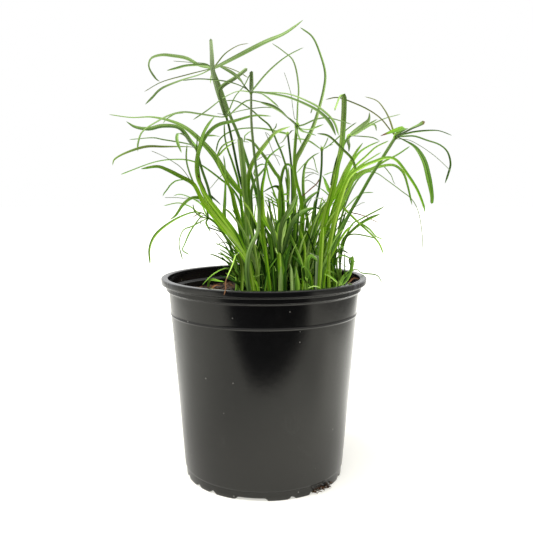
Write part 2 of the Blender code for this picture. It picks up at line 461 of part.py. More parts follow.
def smooth_course(points, spans):
    """Evenly spaced points on a smooth curve through the given ones."""
    padded = [2 * points[0] - points[1], *points, 2 * points[-1] - points[-2]]
    fine = []
    for before, start, end, after in zip(padded, padded[1:], padded[2:], padded[3:]):
        for step in range(CURVE_STEPS):
            t = step / CURVE_STEPS
            fine.append(0.5 * (
                2 * start + (end - before) * t
                + (2 * before - 5 * start + 4 * end - after) * t ** 2
                + (3 * start - before - 3 * end + after) * t ** 3))
    fine.append(points[-1])
    run = [0.0]
    for first, second in zip(fine, fine[1:]):
        run.append(run[-1] + (second - first).length)
    course = []
    low = 0
    for step in range(spans + 1):
        goal = run[-1] * step / spans
        while low < len(run) - 2 and run[low + 1] < goal:
            low += 1
        share = (goal - run[low]) / max(run[low + 1] - run[low], 1e-9)
        course.append(fine[low].lerp(fine[low + 1], min(max(share, 0.0), 1.0)))
    return course


def length_of(points):
    """The length of a course measured from point to point."""
    return sum((second - first).length for first, second in zip(points, points[1:]))


def spans_for(points):
    """How many straight spans a course takes, from its length and how far it bends."""
    legs = [second - first for first, second in zip(points, points[1:])]
    bend = sum(first.angle(second, 0.0) for first, second in zip(legs, legs[1:]))
    wanted = round(length_of(points) / SPAN + bend / SPAN_BEND)
    return min(max(wanted, FEWEST_SPANS), MOST_SPANS)


def frames_along(course, widths, stem, flat_foot):
    """The matrices that carry a unit section to each point of a course without a sudden twist."""
    frames = []
    across = None
    for place, centre in enumerate(course):
        share = place / (len(course) - 1)
        width = at(widths, share)
        depth = width / 2 if stem else max(width * BLADE_KEEL, BLADE_THINNEST)
        ahead = course[min(place + 1, len(course) - 1)] - course[max(place - 1, 0)]
        forward = Vector((0, 0, 1)) if flat_foot and place == 0 else ahead.normalized()
        wanted = forward.cross(PLANT_FACES)
        if across is None:
            across = wanted if wanted.length > LEAST_ACROSS else Vector((1, 0, 0))
        kept = (across - forward * across.dot(forward)).normalized()
        across = (kept + wanted * max(kept.dot(wanted), 0.0) * TURN_TO_FRONT).normalized()
        face = across.cross(forward)
        frame = Matrix((across * width / 2, face * depth, forward)).transposed().to_4x4()
        frame.translation = centre
        frames.append(frame)
    return frames


def grown(shape, face, keep):
    """Extrudes an end face in place, and gives the new end face and its vertices."""
    made = bmesh.ops.extrude_face_region(shape, geom=[face])["geom"]
    if not keep:
        bmesh.ops.delete(shape, geom=[face], context="FACES_ONLY")
    ring = [part for part in made if isinstance(part, bmesh.types.BMVert)]
    end = next(part for part in made if isinstance(part, bmesh.types.BMFace))
    return end, ring


def swept(points, widths, section, flat_foot, pointed):
    """A closed mesh, in metres, of a section carried along a course and tapered by widths."""
    course = smooth_course(points, spans_for(points))
    frames = frames_along(course, widths, section is STEM_SECTION, flat_foot)
    if pointed:
        frames.pop()
    shape = bmesh.new()
    face = shape.faces.new([shape.verts.new(frames[0] @ Vector((*spot, 0))) for spot in section])
    for last, this in zip(frames, frames[1:]):
        face, ring = grown(shape, face, keep=last is frames[0])
        bmesh.ops.transform(shape, matrix=this @ last.inverted(), verts=ring)
    if pointed:
        face, ring = grown(shape, face, keep=False)
        bmesh.ops.pointmerge(shape, verts=ring, merge_co=course[-1])
    bmesh.ops.transform(shape, matrix=Matrix.Scale(MM, 4), verts=shape.verts)
    bmesh.ops.recalc_face_normals(shape, faces=shape.faces)
    mesh = bpy.data.meshes.new("swept")
    shape.to_mesh(mesh)
    shape.free()
    return mesh


def course_points(foot, depths, path):
    """The real points of a course that rises from the soil at its foot."""
    points = [Vector((foot[0], foot[1], SOIL_TOP + GAP))]
    run = length_of([Vector((*place, 0)) for place in path])
    gone = 0.0
    for number, (x, z) in enumerate(path):
        if number:
            gone += (Vector((x, z, 0)) - Vector((*path[number - 1], 0))).length
        points.append(seen(x, z, at(depths, gone / run)))
    return points


def reaching(start_depth, end_depth, path):
    """The real points of a course that leaves a crown and spreads at once towards its end depth."""
    reached = [1 - (1 - (number + 1) / len(path)) ** SPREAD for number in range(len(path))]
    return [seen(x, z, start_depth + (end_depth - start_depth) * share)
            for (x, z), share in zip(path, reached)]


def stem_points(name):
    """The real points of a stem, from the soil to its crown."""
    foot, crown_depth, _, path = STEMS[name]
    return course_points(foot, (foot[1], crown_depth), path)


def add_stems(finish):
    """Each three-sided stem, from the soil to just under its umbel."""
    for name, (_, _, widths, _) in STEMS.items():
        mesh = swept(stem_points(name), widths, STEM_SECTION, flat_foot=True, pointed=False)
        add_object(name, mesh, finish)


def hub(centre, radius):
    """The small knob, in metres, in which the bracts of an umbel join."""
    shape = bmesh.new()
    bmesh.ops.create_icosphere(shape, subdivisions=HUB_DETAIL, radius=radius * MM)
    bmesh.ops.translate(shape, vec=centre * MM, verts=shape.verts)
    mesh = bpy.data.meshes.new("hub")
    shape.to_mesh(mesh)
    shape.free()
    return mesh


def add_umbels(finish):
    """Each umbel: its bracts and the knob that joins them, standing on its stem."""
    for name, (stem, bracts) in UMBELS.items():
        points = stem_points(stem)
        rise = (points[-1] - points[-2]).normalized()
        radius = STEMS[stem][2][-1] * HUB_SWELL
        centre = points[-1] + rise * (radius + GAP)
        blades = []
        for end_depth, widths, path in bracts:
            blades.append(swept([centre, *reaching(centre.y, end_depth, path)], widths,
                                BLADE_SECTION, flat_foot=False, pointed=True))
        add_object(name, combined(hub(centre, radius), blades, "UNION"), finish)


def add_leaves(finish):
    """Each single leaf, a keeled blade from the soil to its tip."""
    for name, (foot, depths, widths, path) in LEAVES.items():
        points = course_points(foot, depths, path)
        mesh = swept(points, widths, BLADE_SECTION, flat_foot=True, pointed=True)
        add_object(name, mesh, finish)


def add_tillers(finish):
    """Each side shoot: its stalk and the small leaves that grow out of its top."""
    for name, (foot, top_depth, stalk_widths, course, leaves) in TILLERS.items():
        points = course_points(foot, (foot[1], top_depth), course)
        stalk = swept(points, stalk_widths, STEM_SECTION, flat_foot=True, pointed=False)
        top = points[-1]
        blades = [hub(top, stalk_widths[-1] * HUB_SWELL)]
        for end_depth, widths, path in leaves:
            blades.append(swept([top, *reaching(top.y, end_depth, path)], widths,
                                BLADE_SECTION, flat_foot=False, pointed=True))
        add_object(name, combined(stalk, blades, "UNION"), finish)


def turned(profile, sides):
    """A closed mesh, in metres, turned about Z from an (r, z) profile that ends on the axis."""
    shape = bmesh.new()
    line = [shape.verts.new((radius * MM, 0, height * MM)) for radius, height in profile]
    edges = [shape.edges.new(pair) for pair in zip(line, line[1:])]
    bmesh.ops.spin(shape, geom=[*line, *edges], axis=(0, 0, 1), cent=(0, 0, 0),
                   angle=math.tau, steps=sides, use_merge=True)
    bmesh.ops.remove_doubles(shape, verts=shape.verts, dist=1e-6)
    bmesh.ops.recalc_face_normals(shape, faces=shape.faces)
    mesh = bpy.data.meshes.new("turned")
    shape.to_mesh(mesh)
    shape.free()
    return mesh


def wall_radius(height):
    """The pot's outer radius on its straight taper."""
    share = (height - BASE_CORNER_HEIGHT) / (NECK_BOTTOM - BASE_CORNER_HEIGHT)
    return BASE_RADIUS + (BODY_TOP_RADIUS - BASE_RADIUS) * share


def pot_profile():
    """The pot's section, from its floor's inside up, over the lip and down to its underside."""
    floor = FLOOR_HEIGHT + WALL
    lip_bottom = POT_HEIGHT - LIP_DEPTH
    inner_foot = FOOT_RADIUS - FOOT_WIDTH
    return [
        (0, floor),
        (wall_radius(floor) - WALL - FLOOR_FILLET, floor),
        (wall_radius(BASE_CORNER_HEIGHT) - WALL, BASE_CORNER_HEIGHT + CORNER_ROUND),
        (BODY_TOP_RADIUS - WALL, NECK_BOTTOM),
        (NECK_RADIUS - NECK_TAPER - WALL, NECK_BOTTOM + LEDGE_HEIGHT),
        (NECK_RADIUS - WALL, POT_HEIGHT - LIP_ROUND),
        (NECK_RADIUS - WALL + LIP_ROUND, POT_HEIGHT),
        (LIP_RADIUS - LIP_ROUND, POT_HEIGHT),
        (LIP_RADIUS, POT_HEIGHT - LIP_ROUND),
        (LIP_RADIUS - LIP_ROUND / 4, POT_HEIGHT - 2 * LIP_ROUND),
        (NECK_RADIUS, lip_bottom),
        (NECK_RADIUS - NECK_TAPER, NECK_BOTTOM + LEDGE_HEIGHT),
        (BODY_TOP_RADIUS, NECK_BOTTOM),
        (wall_radius(RIDGE_HEIGHT + RIDGE_SPREAD), RIDGE_HEIGHT + RIDGE_SPREAD),
        (wall_radius(RIDGE_HEIGHT) + RIDGE_RISE, RIDGE_HEIGHT),
        (wall_radius(RIDGE_HEIGHT - RIDGE_SPREAD), RIDGE_HEIGHT - RIDGE_SPREAD),
        (BASE_RADIUS, BASE_CORNER_HEIGHT),
        (BASE_RADIUS - BASE_CHAMFER, BASE_CORNER_HEIGHT - 2 * CORNER_ROUND),
        (FOOT_RADIUS, FLOOR_HEIGHT),
        (FOOT_RADIUS - FOOT_DRAFT, 0),
        (inner_foot, 0),
        (inner_foot - 2 * FOOT_DRAFT, FLOOR_HEIGHT),
        (0, FLOOR_HEIGHT),
    ]


def notch_cutter(middle, width):
    """A wedge that cuts one drain notch through the foot ring."""
    shape = bmesh.new()
    bmesh.ops.create_cube(shape, size=1.0)
    reach = 2 * (FOOT_RADIUS + NOTCH_DEPTH / 2) * math.tan(math.radians(width / 2))
    size = Matrix.Diagonal((reach, NOTCH_DEPTH, 2 * NOTCH_HEIGHT, 1))
    out = Matrix.Translation((0, -FOOT_RADIUS + FOOT_WIDTH / 2, 0))
    around = Matrix.Rotation(math.radians(middle), 4, "Z")
    matrix = Matrix.Scale(MM, 4) @ around @ out @ size
    bmesh.ops.transform(shape, matrix=matrix, verts=shape.verts)
    mesh = bpy.data.meshes.new("notch")
    shape.to_mesh(mesh)
    shape.free()
    return mesh


def add_pot(finish):
    """The nursery pot, turned in one piece, with drain notches cut in its foot ring."""
    cutters = [notch_cutter(*notch) for notch in DRAIN_NOTCHES]
    mesh = combined(turned(pot_profile(), POT_SIDES), cutters, "DIFFERENCE")
    mesh.shade_smooth()
    mesh.set_sharp_from_angle(angle=SHARP_ANGLE)
    add_object("pot", mesh, finish)


def add_soil(finish):
    """The potting soil, a plug that fills the pot and sags a little at the wall."""
    floor = FLOOR_HEIGHT + WALL + SOIL_GAP
    edge = SOIL_TOP - SOIL_SAG
    inside = wall_radius(edge) - WALL - SOIL_GAP
    profile = [
        (0, SOIL_TOP),
        (SOIL_FLAT_RADIUS, SOIL_TOP),
        (inside, edge),
        (BASE_RADIUS - WALL - SOIL_GAP, BASE_CORNER_HEIGHT + 2 * CORNER_ROUND),
        (wall_radius(floor) - WALL - SOIL_GAP - FLOOR_FILLET, floor),
        (0, floor),
    ]
    mesh = turned(profile, POT_SIDES)
    mesh.shade_smooth()
    mesh.set_sharp_from_angle(angle=SHARP_ANGLE)
    add_object("potting_soil", mesh, finish)


def centre_on_origin():
    """Moves every mesh alike, so that the middle of the plant's spread is over the origin."""
    meshes = [thing.data for thing in bpy.context.scene.objects]
    spots = [point.co for mesh in meshes for point in mesh.vertices]
    middle = [(min(spot[axis] for spot in spots) + max(spot[axis] for spot in spots)) / 2
              for axis in (0, 1)]
    for mesh in meshes:
        mesh.transform(Matrix.Translation((-middle[0], -middle[1], 0)))


def main():
    clear_scene()
    add_pot(material("pot_plastic", *POT_PLASTIC))
    add_soil(material("soil", *SOIL))
    add_stems(material("stem_green", *STEM_GREEN))
    add_umbels(material("bract_green", *BRACT_GREEN))
    leaf_green = material("leaf_green", *LEAF_GREEN)
    add_leaves(leaf_green)
    add_tillers(leaf_green)
    centre_on_origin()


main()
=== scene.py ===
"""Looks of a young papyrus sedge in its black nursery pot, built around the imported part.

Units are metres, with +Z up and -Y at the front. Courses of stems, leaves and bracts are in
millimetres about the pot's own axis, as part.py gives them, and are moved to the frame's place
of the pot when they are made. An (x, z) course is how a piece looks from the front on the plane
through the pot's axis, and its real depth in y is given beside it.
"""

import json
import math
import random

import bmesh
import bpy
from mathutils import Matrix, Vector, kdtree, noise

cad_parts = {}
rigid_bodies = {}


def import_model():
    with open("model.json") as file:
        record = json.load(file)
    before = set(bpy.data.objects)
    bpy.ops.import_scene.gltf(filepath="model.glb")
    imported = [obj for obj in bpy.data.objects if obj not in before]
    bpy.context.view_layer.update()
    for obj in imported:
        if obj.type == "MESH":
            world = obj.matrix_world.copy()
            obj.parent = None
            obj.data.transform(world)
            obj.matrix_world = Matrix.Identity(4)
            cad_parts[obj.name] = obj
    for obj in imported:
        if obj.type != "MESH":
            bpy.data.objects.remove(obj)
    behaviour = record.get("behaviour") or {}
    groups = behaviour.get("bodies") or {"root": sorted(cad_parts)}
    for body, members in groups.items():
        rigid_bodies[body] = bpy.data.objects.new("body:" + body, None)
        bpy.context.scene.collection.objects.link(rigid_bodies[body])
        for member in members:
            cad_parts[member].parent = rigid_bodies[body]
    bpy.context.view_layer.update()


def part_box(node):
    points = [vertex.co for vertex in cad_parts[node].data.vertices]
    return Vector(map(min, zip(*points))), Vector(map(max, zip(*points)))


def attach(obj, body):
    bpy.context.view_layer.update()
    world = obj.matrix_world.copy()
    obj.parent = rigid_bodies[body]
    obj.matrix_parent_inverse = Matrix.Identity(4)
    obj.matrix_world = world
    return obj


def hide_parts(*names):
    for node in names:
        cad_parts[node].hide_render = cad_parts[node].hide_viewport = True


bl_info = {
    "name": "Potted papyrus looks",
    "version": (1, 0, 0),
    "blender": (4, 5, 0),
    "location": "View3D > Sidebar > Papyrus",
    "description": "Dresses the packed papyrus plant: pot, soil, stems, umbels, leaves and litter",
    "category": "Object",
}

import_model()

MM = 0.001

# Where the plant is seen from when its courses are read, in mm
EYE = Vector((2.1, -560.0, 238.0))
CAMERA_PITCH = math.radians(7.0)
CAMERA_LENS = 47.08
SENSOR = 36.0

# The pot's axis in the frame, in mm
POT_LOW, POT_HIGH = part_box("pot")
AXIS_X = (POT_LOW.x + POT_HIGH.x) / 2 / MM
AXIS_Y = (POT_LOW.y + POT_HIGH.y) / 2 / MM

# Pot, in mm
POT_HEIGHT = 161.6
LIP_RADIUS = 82.5
LIP_DEPTH = 6.0
NECK_RADIUS = 78.6
NECK_TAPER = 0.1
LEDGE_HEIGHT = 1.6
NECK_BOTTOM = 150.6
BODY_TOP_RADIUS = 76.3
RIDGE_HEIGHT = 133.0
RIDGE_RISE = 0.5
BASE_RADIUS = 65.2
BASE_CORNER_HEIGHT = 9.0
WALL = 1.4
FOOT_RADIUS = 64.2
FOOT_WIDTH = 2.4
FLOOR_HEIGHT = 4.0

# Drain notches in the foot ring: middle and width in degrees, counted from the front towards +X
DRAIN_NOTCHES = (
    (-71, 5), (-53, 4), (-38, 4), (-8.5, 21), (19.8, 3), (45, 22),
    (70, 5), (110, 21), (141, 4), (165, 22), (-165, 4), (-130, 21), (-98, 4),
)

# A notch's height in mm, half the degrees over which its sides rise, and how much of its height
# is left on the inner side of the foot ring
NOTCH_HEIGHT = 3.2
NOTCH_EASE = 1.1
NOTCH_BACK = 0.5

# The rounds of the pot's edges, in mm
LIP_INNER_ROUND = 0.6
LIP_OUTER_ROUND = 0.9
LIP_LOWER_ROUND = 0.5
LEDGE_ROUND = 0.4
BASE_ROUND = 2.6
FOOT_ROUND = 0.7

# Points of the lip's skirt and of the foot's outside: how far in from the lip's or the foot's
# radius, then how far down from the top or up from the ground, in mm
LIP_SKIRT = ((0.08, 2.1), (0.2, 3.4))
FOOT_OUTSIDE = ((0.0, 5.4), (0.05, 4.0), (0.1, 2.8), (0.2, 1.6))

# Heights of the wall's rings over and under the ridge line, in mm
RINGS_OVER_RIDGE = (150.2, 149.4, 147.5, 144.5, 141.5, 138.5, 136.3, 135.1)
RINGS_UNDER_RIDGE = (131.6, 131.0, 129.5)

# How many more rings the wall has inside and down to the base, how many lie on each side of the
# ridge's crest, and their spacing in mm
WALL_RINGS = 14
RIDGE_RINGS = 4
RIDGE_RING_STEP = 0.25

# Soil: its sizes and lumps in mm, and how finely it is turned
SOIL_TOP = 148.0
SOIL_EDGE_RADIUS = 74.4
SOIL_SIDES = 120
SOIL_RINGS = 30
SOIL_DROP = 0.3
SOIL_PLAY = 0.4
LUMP_SPREAD = 9
LUMP_RISE = 1.3
GRAIN_SPREAD = 3.2
GRAIN_RISE = 0.7
EDGE_SAG = 1.8

# Crumbs: the least size and how much more it may be, in mm, and the tones of soil and crumbs
CRUMB_LEAST = 0.45
CRUMB_MORE = 1.25
CRUMB_TONES = (0.1, 0.2, 0.3, 0.5, 0.8)
SOIL_TONE = 0.30

# Every stem and leaf stands this far over the soil, and every crown over its stem, in mm
GAP = 0.3

# A strand whose course starts lower than this, as seen from the front, grows out of the soil
FOOT_SEEN = 150.5

# A blade's depth as a share of its width and the least it may be, in mm
BLADE_KEEL = 0.30
BLADE_THINNEST = 0.45

# The radius of a crown's knob as a share of its stem's width, and how far it is drawn out
HUB_SWELL = 0.72
HUB_STRETCH = 1.5

# How much paler a knob is than its bracts, and how large a tiller's is beside a crown's
HUB_PALER = 0.25
TILLER_HUB = 0.8

# How soon bracts spread towards their end depths
SPREAD = 1.8

# The way that blades turn to face, how strongly they do so over how many rings, and how far
# from that way a blade's foot must point to be turned at once
PLANT_FACES = Vector((0.0, -0.85, 0.53))
TURN_TO_FRONT = 1.5
TURN_RINGS = 8.0
LEAST_ACROSS = 0.4

# A tip's length in widths, pointed and blunt, and the longest it may be in mm, then how full a
# pointed one is and how the rings crowd towards it
TIP_WIDTHS = 3.2
BLUNT_WIDTHS = 0.5
TIP_LONGEST = 13.0
TIP_CURVE = 0.62
TIP_CROWDING = 1.25

# How much painted shade darkens one half of a folded blade, and how often a blade turns to and fro
FOLD_SHADES = (0.15, 0.42)
TURNS = (0.5, 1.1)

# Over which share of a blade its green gives way to a dry tip
DRY_EASE = 0.04

# How far the tones of two pieces with the same look may lie apart from it
TONE_PLAY = 0.10

# Points closer than this are one, in mm, and steps between two points of a smooth course
WELD = 0.0005
CURVE_STEPS = 16

# Roughness of stems, bracts and leaves, how much paler each is made, and their shine
STEM_ROUGH = 0.38
BRACT_ROUGH = 0.42
LEAF_ROUGH = 0.40
STEM_LIFT = 0.05
BRACT_LIFT = 0.02
LEAF_LIFT = 0.16
LEAF_GLOSS = 0.06

# How strongly a blade's streaks, patches, painted shade in its midrib's groove, painted gleams of
# highlight and dry specks show, and how far its roughness varies
STREAK_SHARE = 0.80
PATCH_SHARE = 0.25
RIB_SHADE_COVER = 0.35
PAINTED_GLEAM_COVER = 0.26
DRY_SPECK_COVER = 0.35
ROUGH_PLAY = 0.22

# How strongly dust, specks, scratches and painted sparkles of light show on the pot, how fine the
# specks are, then its roughness and its shine's strength and tint
DUST_COVER = 0.032
SPECK_CELLS = 145.0
SPECK_COVER = 0.60
SCRATCH_COVER = 0.06
PAINTED_SPARKLE_COVER = 0.25
POT_ROUGH = 0.12
POT_GLOSS = 0.60
POT_TINT = (1.0, 0.99, 0.92, 1.0)

# Painted reflections, pale streaks on the lip's sides and back: their colour, their strength behind,
# and how much is added to it at the sides
PAINTED_LIP_REFLECTIONS = (0.55, 0.58, 0.66)
REFLECTIONS_BEHIND = 0.035
REFLECTIONS_MORE = 0.12

# Painted shade of the clump's heart: its middle and half width, heights and tone, in mm and shares
HEART_MIDDLE = 15.0
HEART_REACH = 62.0
HEART_TOP = 202.0
HEART_BOTTOM = 158.0
HEART_TONE = 0.70

# Leaves turn more olive from this height up, in mm and shares
OLIVE_FROM = 232.0
OLIVE_RISE = 60.0
OLIVE_MOST = 0.45

# The clump's two kinds of small leaf, which chance draws between the values given, in mm and
# shares: where the foot is, the height and how strongly it keeps to the low end, how far the leaf
# leans out for its distance from the heart's middle, sways and drifts, the places along it that
# get a point, how late it arches and how its tip sags, its width, its tones, how much painted
# shade darkens it at the clump's back and at its own foot, the tones that follow the foot's, and
# how blue it is
SHORT_LEAVES = {
    "x": (-18, 48), "y": (-16, 26), "height": (14, 62), "lowness": 1.4,
    "lean": (0.0, 0.35), "sway": 16, "drift": 9,
    "places": (0.0, 0.35, 0.7, 1.0), "arch": 1.5, "sag": 0.12, "sag_power": 3,
    "width": (0.8, 2.2), "tones": (-0.16, -0.12, -0.02, 0.14, 0.42, 0.82), "back_painted_shade": 0.10,
    "foot_shade_share": 1.0, "foot_painted_shade": 0.12, "even_tones": 2, "blue": (0.0, 0.4),
}
SLIM_LEAVES = {
    "x": (-15, 44), "y": (-18, 24), "height": (34, 91), "lowness": 1,
    "lean": (0.2, 1.1), "sway": 14, "drift": 16,
    "places": (0.0, 0.3, 0.6, 0.85, 1.0), "arch": 1.8, "sag": 0.15, "sag_power": 4,
    "width": (0.7, 1.9), "tones": (0.18, 0.36, 0.50, 0.64, 0.80), "back_painted_shade": 0.0,
    "foot_shade_share": 0.6, "foot_painted_shade": 0.0, "even_tones": 3, "blue": (0.0, 0.5),
}
SMALL_LEAF_WIDTHS = (1.0, 1.1, 0.8)
SMALL_LEAF_TWIST = 2

# Seeds of the random draws
UNDERGROWTH_SEED = 23
CRUMB_SEED = 5
LITTER_SEED = 11

# Floor: its colour near the pot and far from it, its glow, and where far and beside begin and end
FLOOR_WHITE = (0.62, 0.61, 0.58)
FLOOR_FAR = (0.30, 0.30, 0.30)
FLOOR_GLOW = (1.0, 0.99, 0.91)
NEAR_GLOW = 0.52
FRONT_GLOW = 0.30
SIDE_GLOW = 0.45
FAR_FROM_POT = (0.10, 0.24)
BESIDE_POT = (-0.95, -0.15)
FLOOR_RADIUS = 6.0
FLOOR_SIDES = 96
STAGE_ROUGH = 0.9

# Dark room: a dark sheet that stands in for the shade of the unlit room in front, seen only in
# reflections and bounced light: its colour and card, then its edge, which draws off from the pot
# past the left and right marks, and how soft that edge is
ROOM_DARK = (0.004, 0.004, 0.005, 1.0)
ROOM_WIDTH = 5.2
ROOM_DEPTH = 3.6
ROOM_BACK = 1.2
ROOM_HEIGHT = 0.002
ROOM_EDGE = -0.250
ROOM_LEFT = -0.07
ROOM_RIGHT = 0.33
LEFT_SLOPE = -0.40
RIGHT_SLOPE = -0.55
ROOM_BLUR = 0.018
BLUR_GROWTH = 0.25

# How dark the room is far out on the left and right, and where that begins and is full
FAR_LEFT = (0.36, 0.75)
FAR_LEFT_COVER = 0.6
FAR_RIGHT = (0.32, 0.60)
FAR_RIGHT_COVER = 0.8

# A thin veil of the same dark: its strengths, and where it begins and is full
FRONT_VEIL = 0.14
FRONT_VEIL_Y = (0.15, 0.0)
SIDE_VEIL = 0.22
LEFT_VEIL_X = (0.10, -0.20)
RIGHT_VEIL_X = (0.12, 0.26)
RIGHT_VEIL_Y = (-0.04, -0.15)

# Surround: where its light comes from, over which range it fades, and how bright it is where it
# has faded, how much more in mirrored light, and at its full
SKY_AIM = (0.0, 0.42, 0.91)
SKY_RISE = (-0.3, 0.8)
SKY_DIM = 0.08
SKY_MIRRORED = 0.38
SKY_BRIGHT = 1.0

# Lamps: power in watts, then size, place and target in metres
LAMPS = {
    "top_light": (16.0, (0.9, 0.7), (-0.25, -0.35, 1.4), (0, 0, 0.2)),
    "front_light": (4.0, (1.2, 0.8), (-0.1, -1.7, 0.9), (0, 0, 0.2)),
    "left_light": (10.0, (0.5, 1.1), (-1.2, -0.35, 0.75), (0, 0, 0.15)),
    "right_light": (4.0, (0.4, 1.0), (1.25, 0.1, 0.75), (0, 0, 0.15)),
}

# Stems: foot (x, y), crown depth, widths from foot to top, then the course with the crown last
STEMS = {
    "stem_1": ((7, 27), 22, (3.2, 3.0, 2.6), (
        (5, 165), (1, 190), (-3, 210), (-5.8, 227), (-10, 242), (-15.5, 260), (-21, 276), (-27, 290),
        (-33.5, 309), (-39.5, 323.5))),
    "stem_2": ((-11, -27), -18, (3.4, 4.4, 3.2, 2.8, 2.4, 2.2, 2.0), (
        (-13.6, 165), (-12.6, 178), (-9.8, 187), (-6.6, 193), (-4.4, 200), (-3.9, 210), (-3.8, 225),
        (-5, 236), (-6.5, 250), (-8, 263), (-9.8, 284), (-10, 305.5))),
    "stem_3": ((1, 22), 0, (2.6, 2.4, 2.0), (
        (0, 165), (-3, 185), (-7.3, 204.5), (-12, 216.5), (-17, 232), (-21, 248.4), (-23.9, 263.4),
        (-27.2, 279), (-29.4, 287.3))),
    "stem_4": ((-3, -7), -5, (2.8, 2.6, 2.2), (
        (-11.5, 166), (-15.5, 177), (-21, 187), (-28, 198), (-35.5, 209), (-41.5, 220), (-44.8, 233.4),
        (-49.5, 247.5), (-53.4, 262.6))),
    "stem_5": ((47, -21), -8, (4.2, 5.6, 4.6, 2.9, 2.8, 2.8, 2.8), (
        (47.5, 165), (50.3, 171.5), (54, 180.5), (58.5, 191.4), (62.4, 199.5), (66.2, 207.2),
        (71.8, 217.5), (78.3, 228.9), (84.8, 240.7), (93.2, 254.4), (103.4, 271))),
    "stem_6": ((24, 26), 28, (4.6, 4.6, 2.2, 2.0), (
        (26.3, 171.6), (31.4, 181), (36.8, 190), (40, 200), (41.3, 217.7), (44.2, 233.4), (45.8, 248),
        (46, 261.3))),
    "stem_7": ((27, -10), -25, (4.4, 4.2, 2.8, 2.6), (
        (26.6, 160), (27.2, 175), (30, 192), (31.2, 207), (29.5, 224), (26, 237), (24.2, 250),
        (24.8, 266), (25.9, 278.9))),
    "stem_8": ((25, 15), 14, (2.6, 2.2, 1.8), (
        (24, 172), (22.8, 190), (22.4, 205), (22.6, 221), (22.4, 238), (21.6, 252), (20.2, 264),
        (19.1, 273.3))),
    "stem_9": ((47, 18), 30, (2.8, 2.6, 2.4), (
        (47.5, 175), (50, 200), (53.5, 225), (57.5, 242), (60, 256), (62.5, 265), (66.3, 271.4))),
}

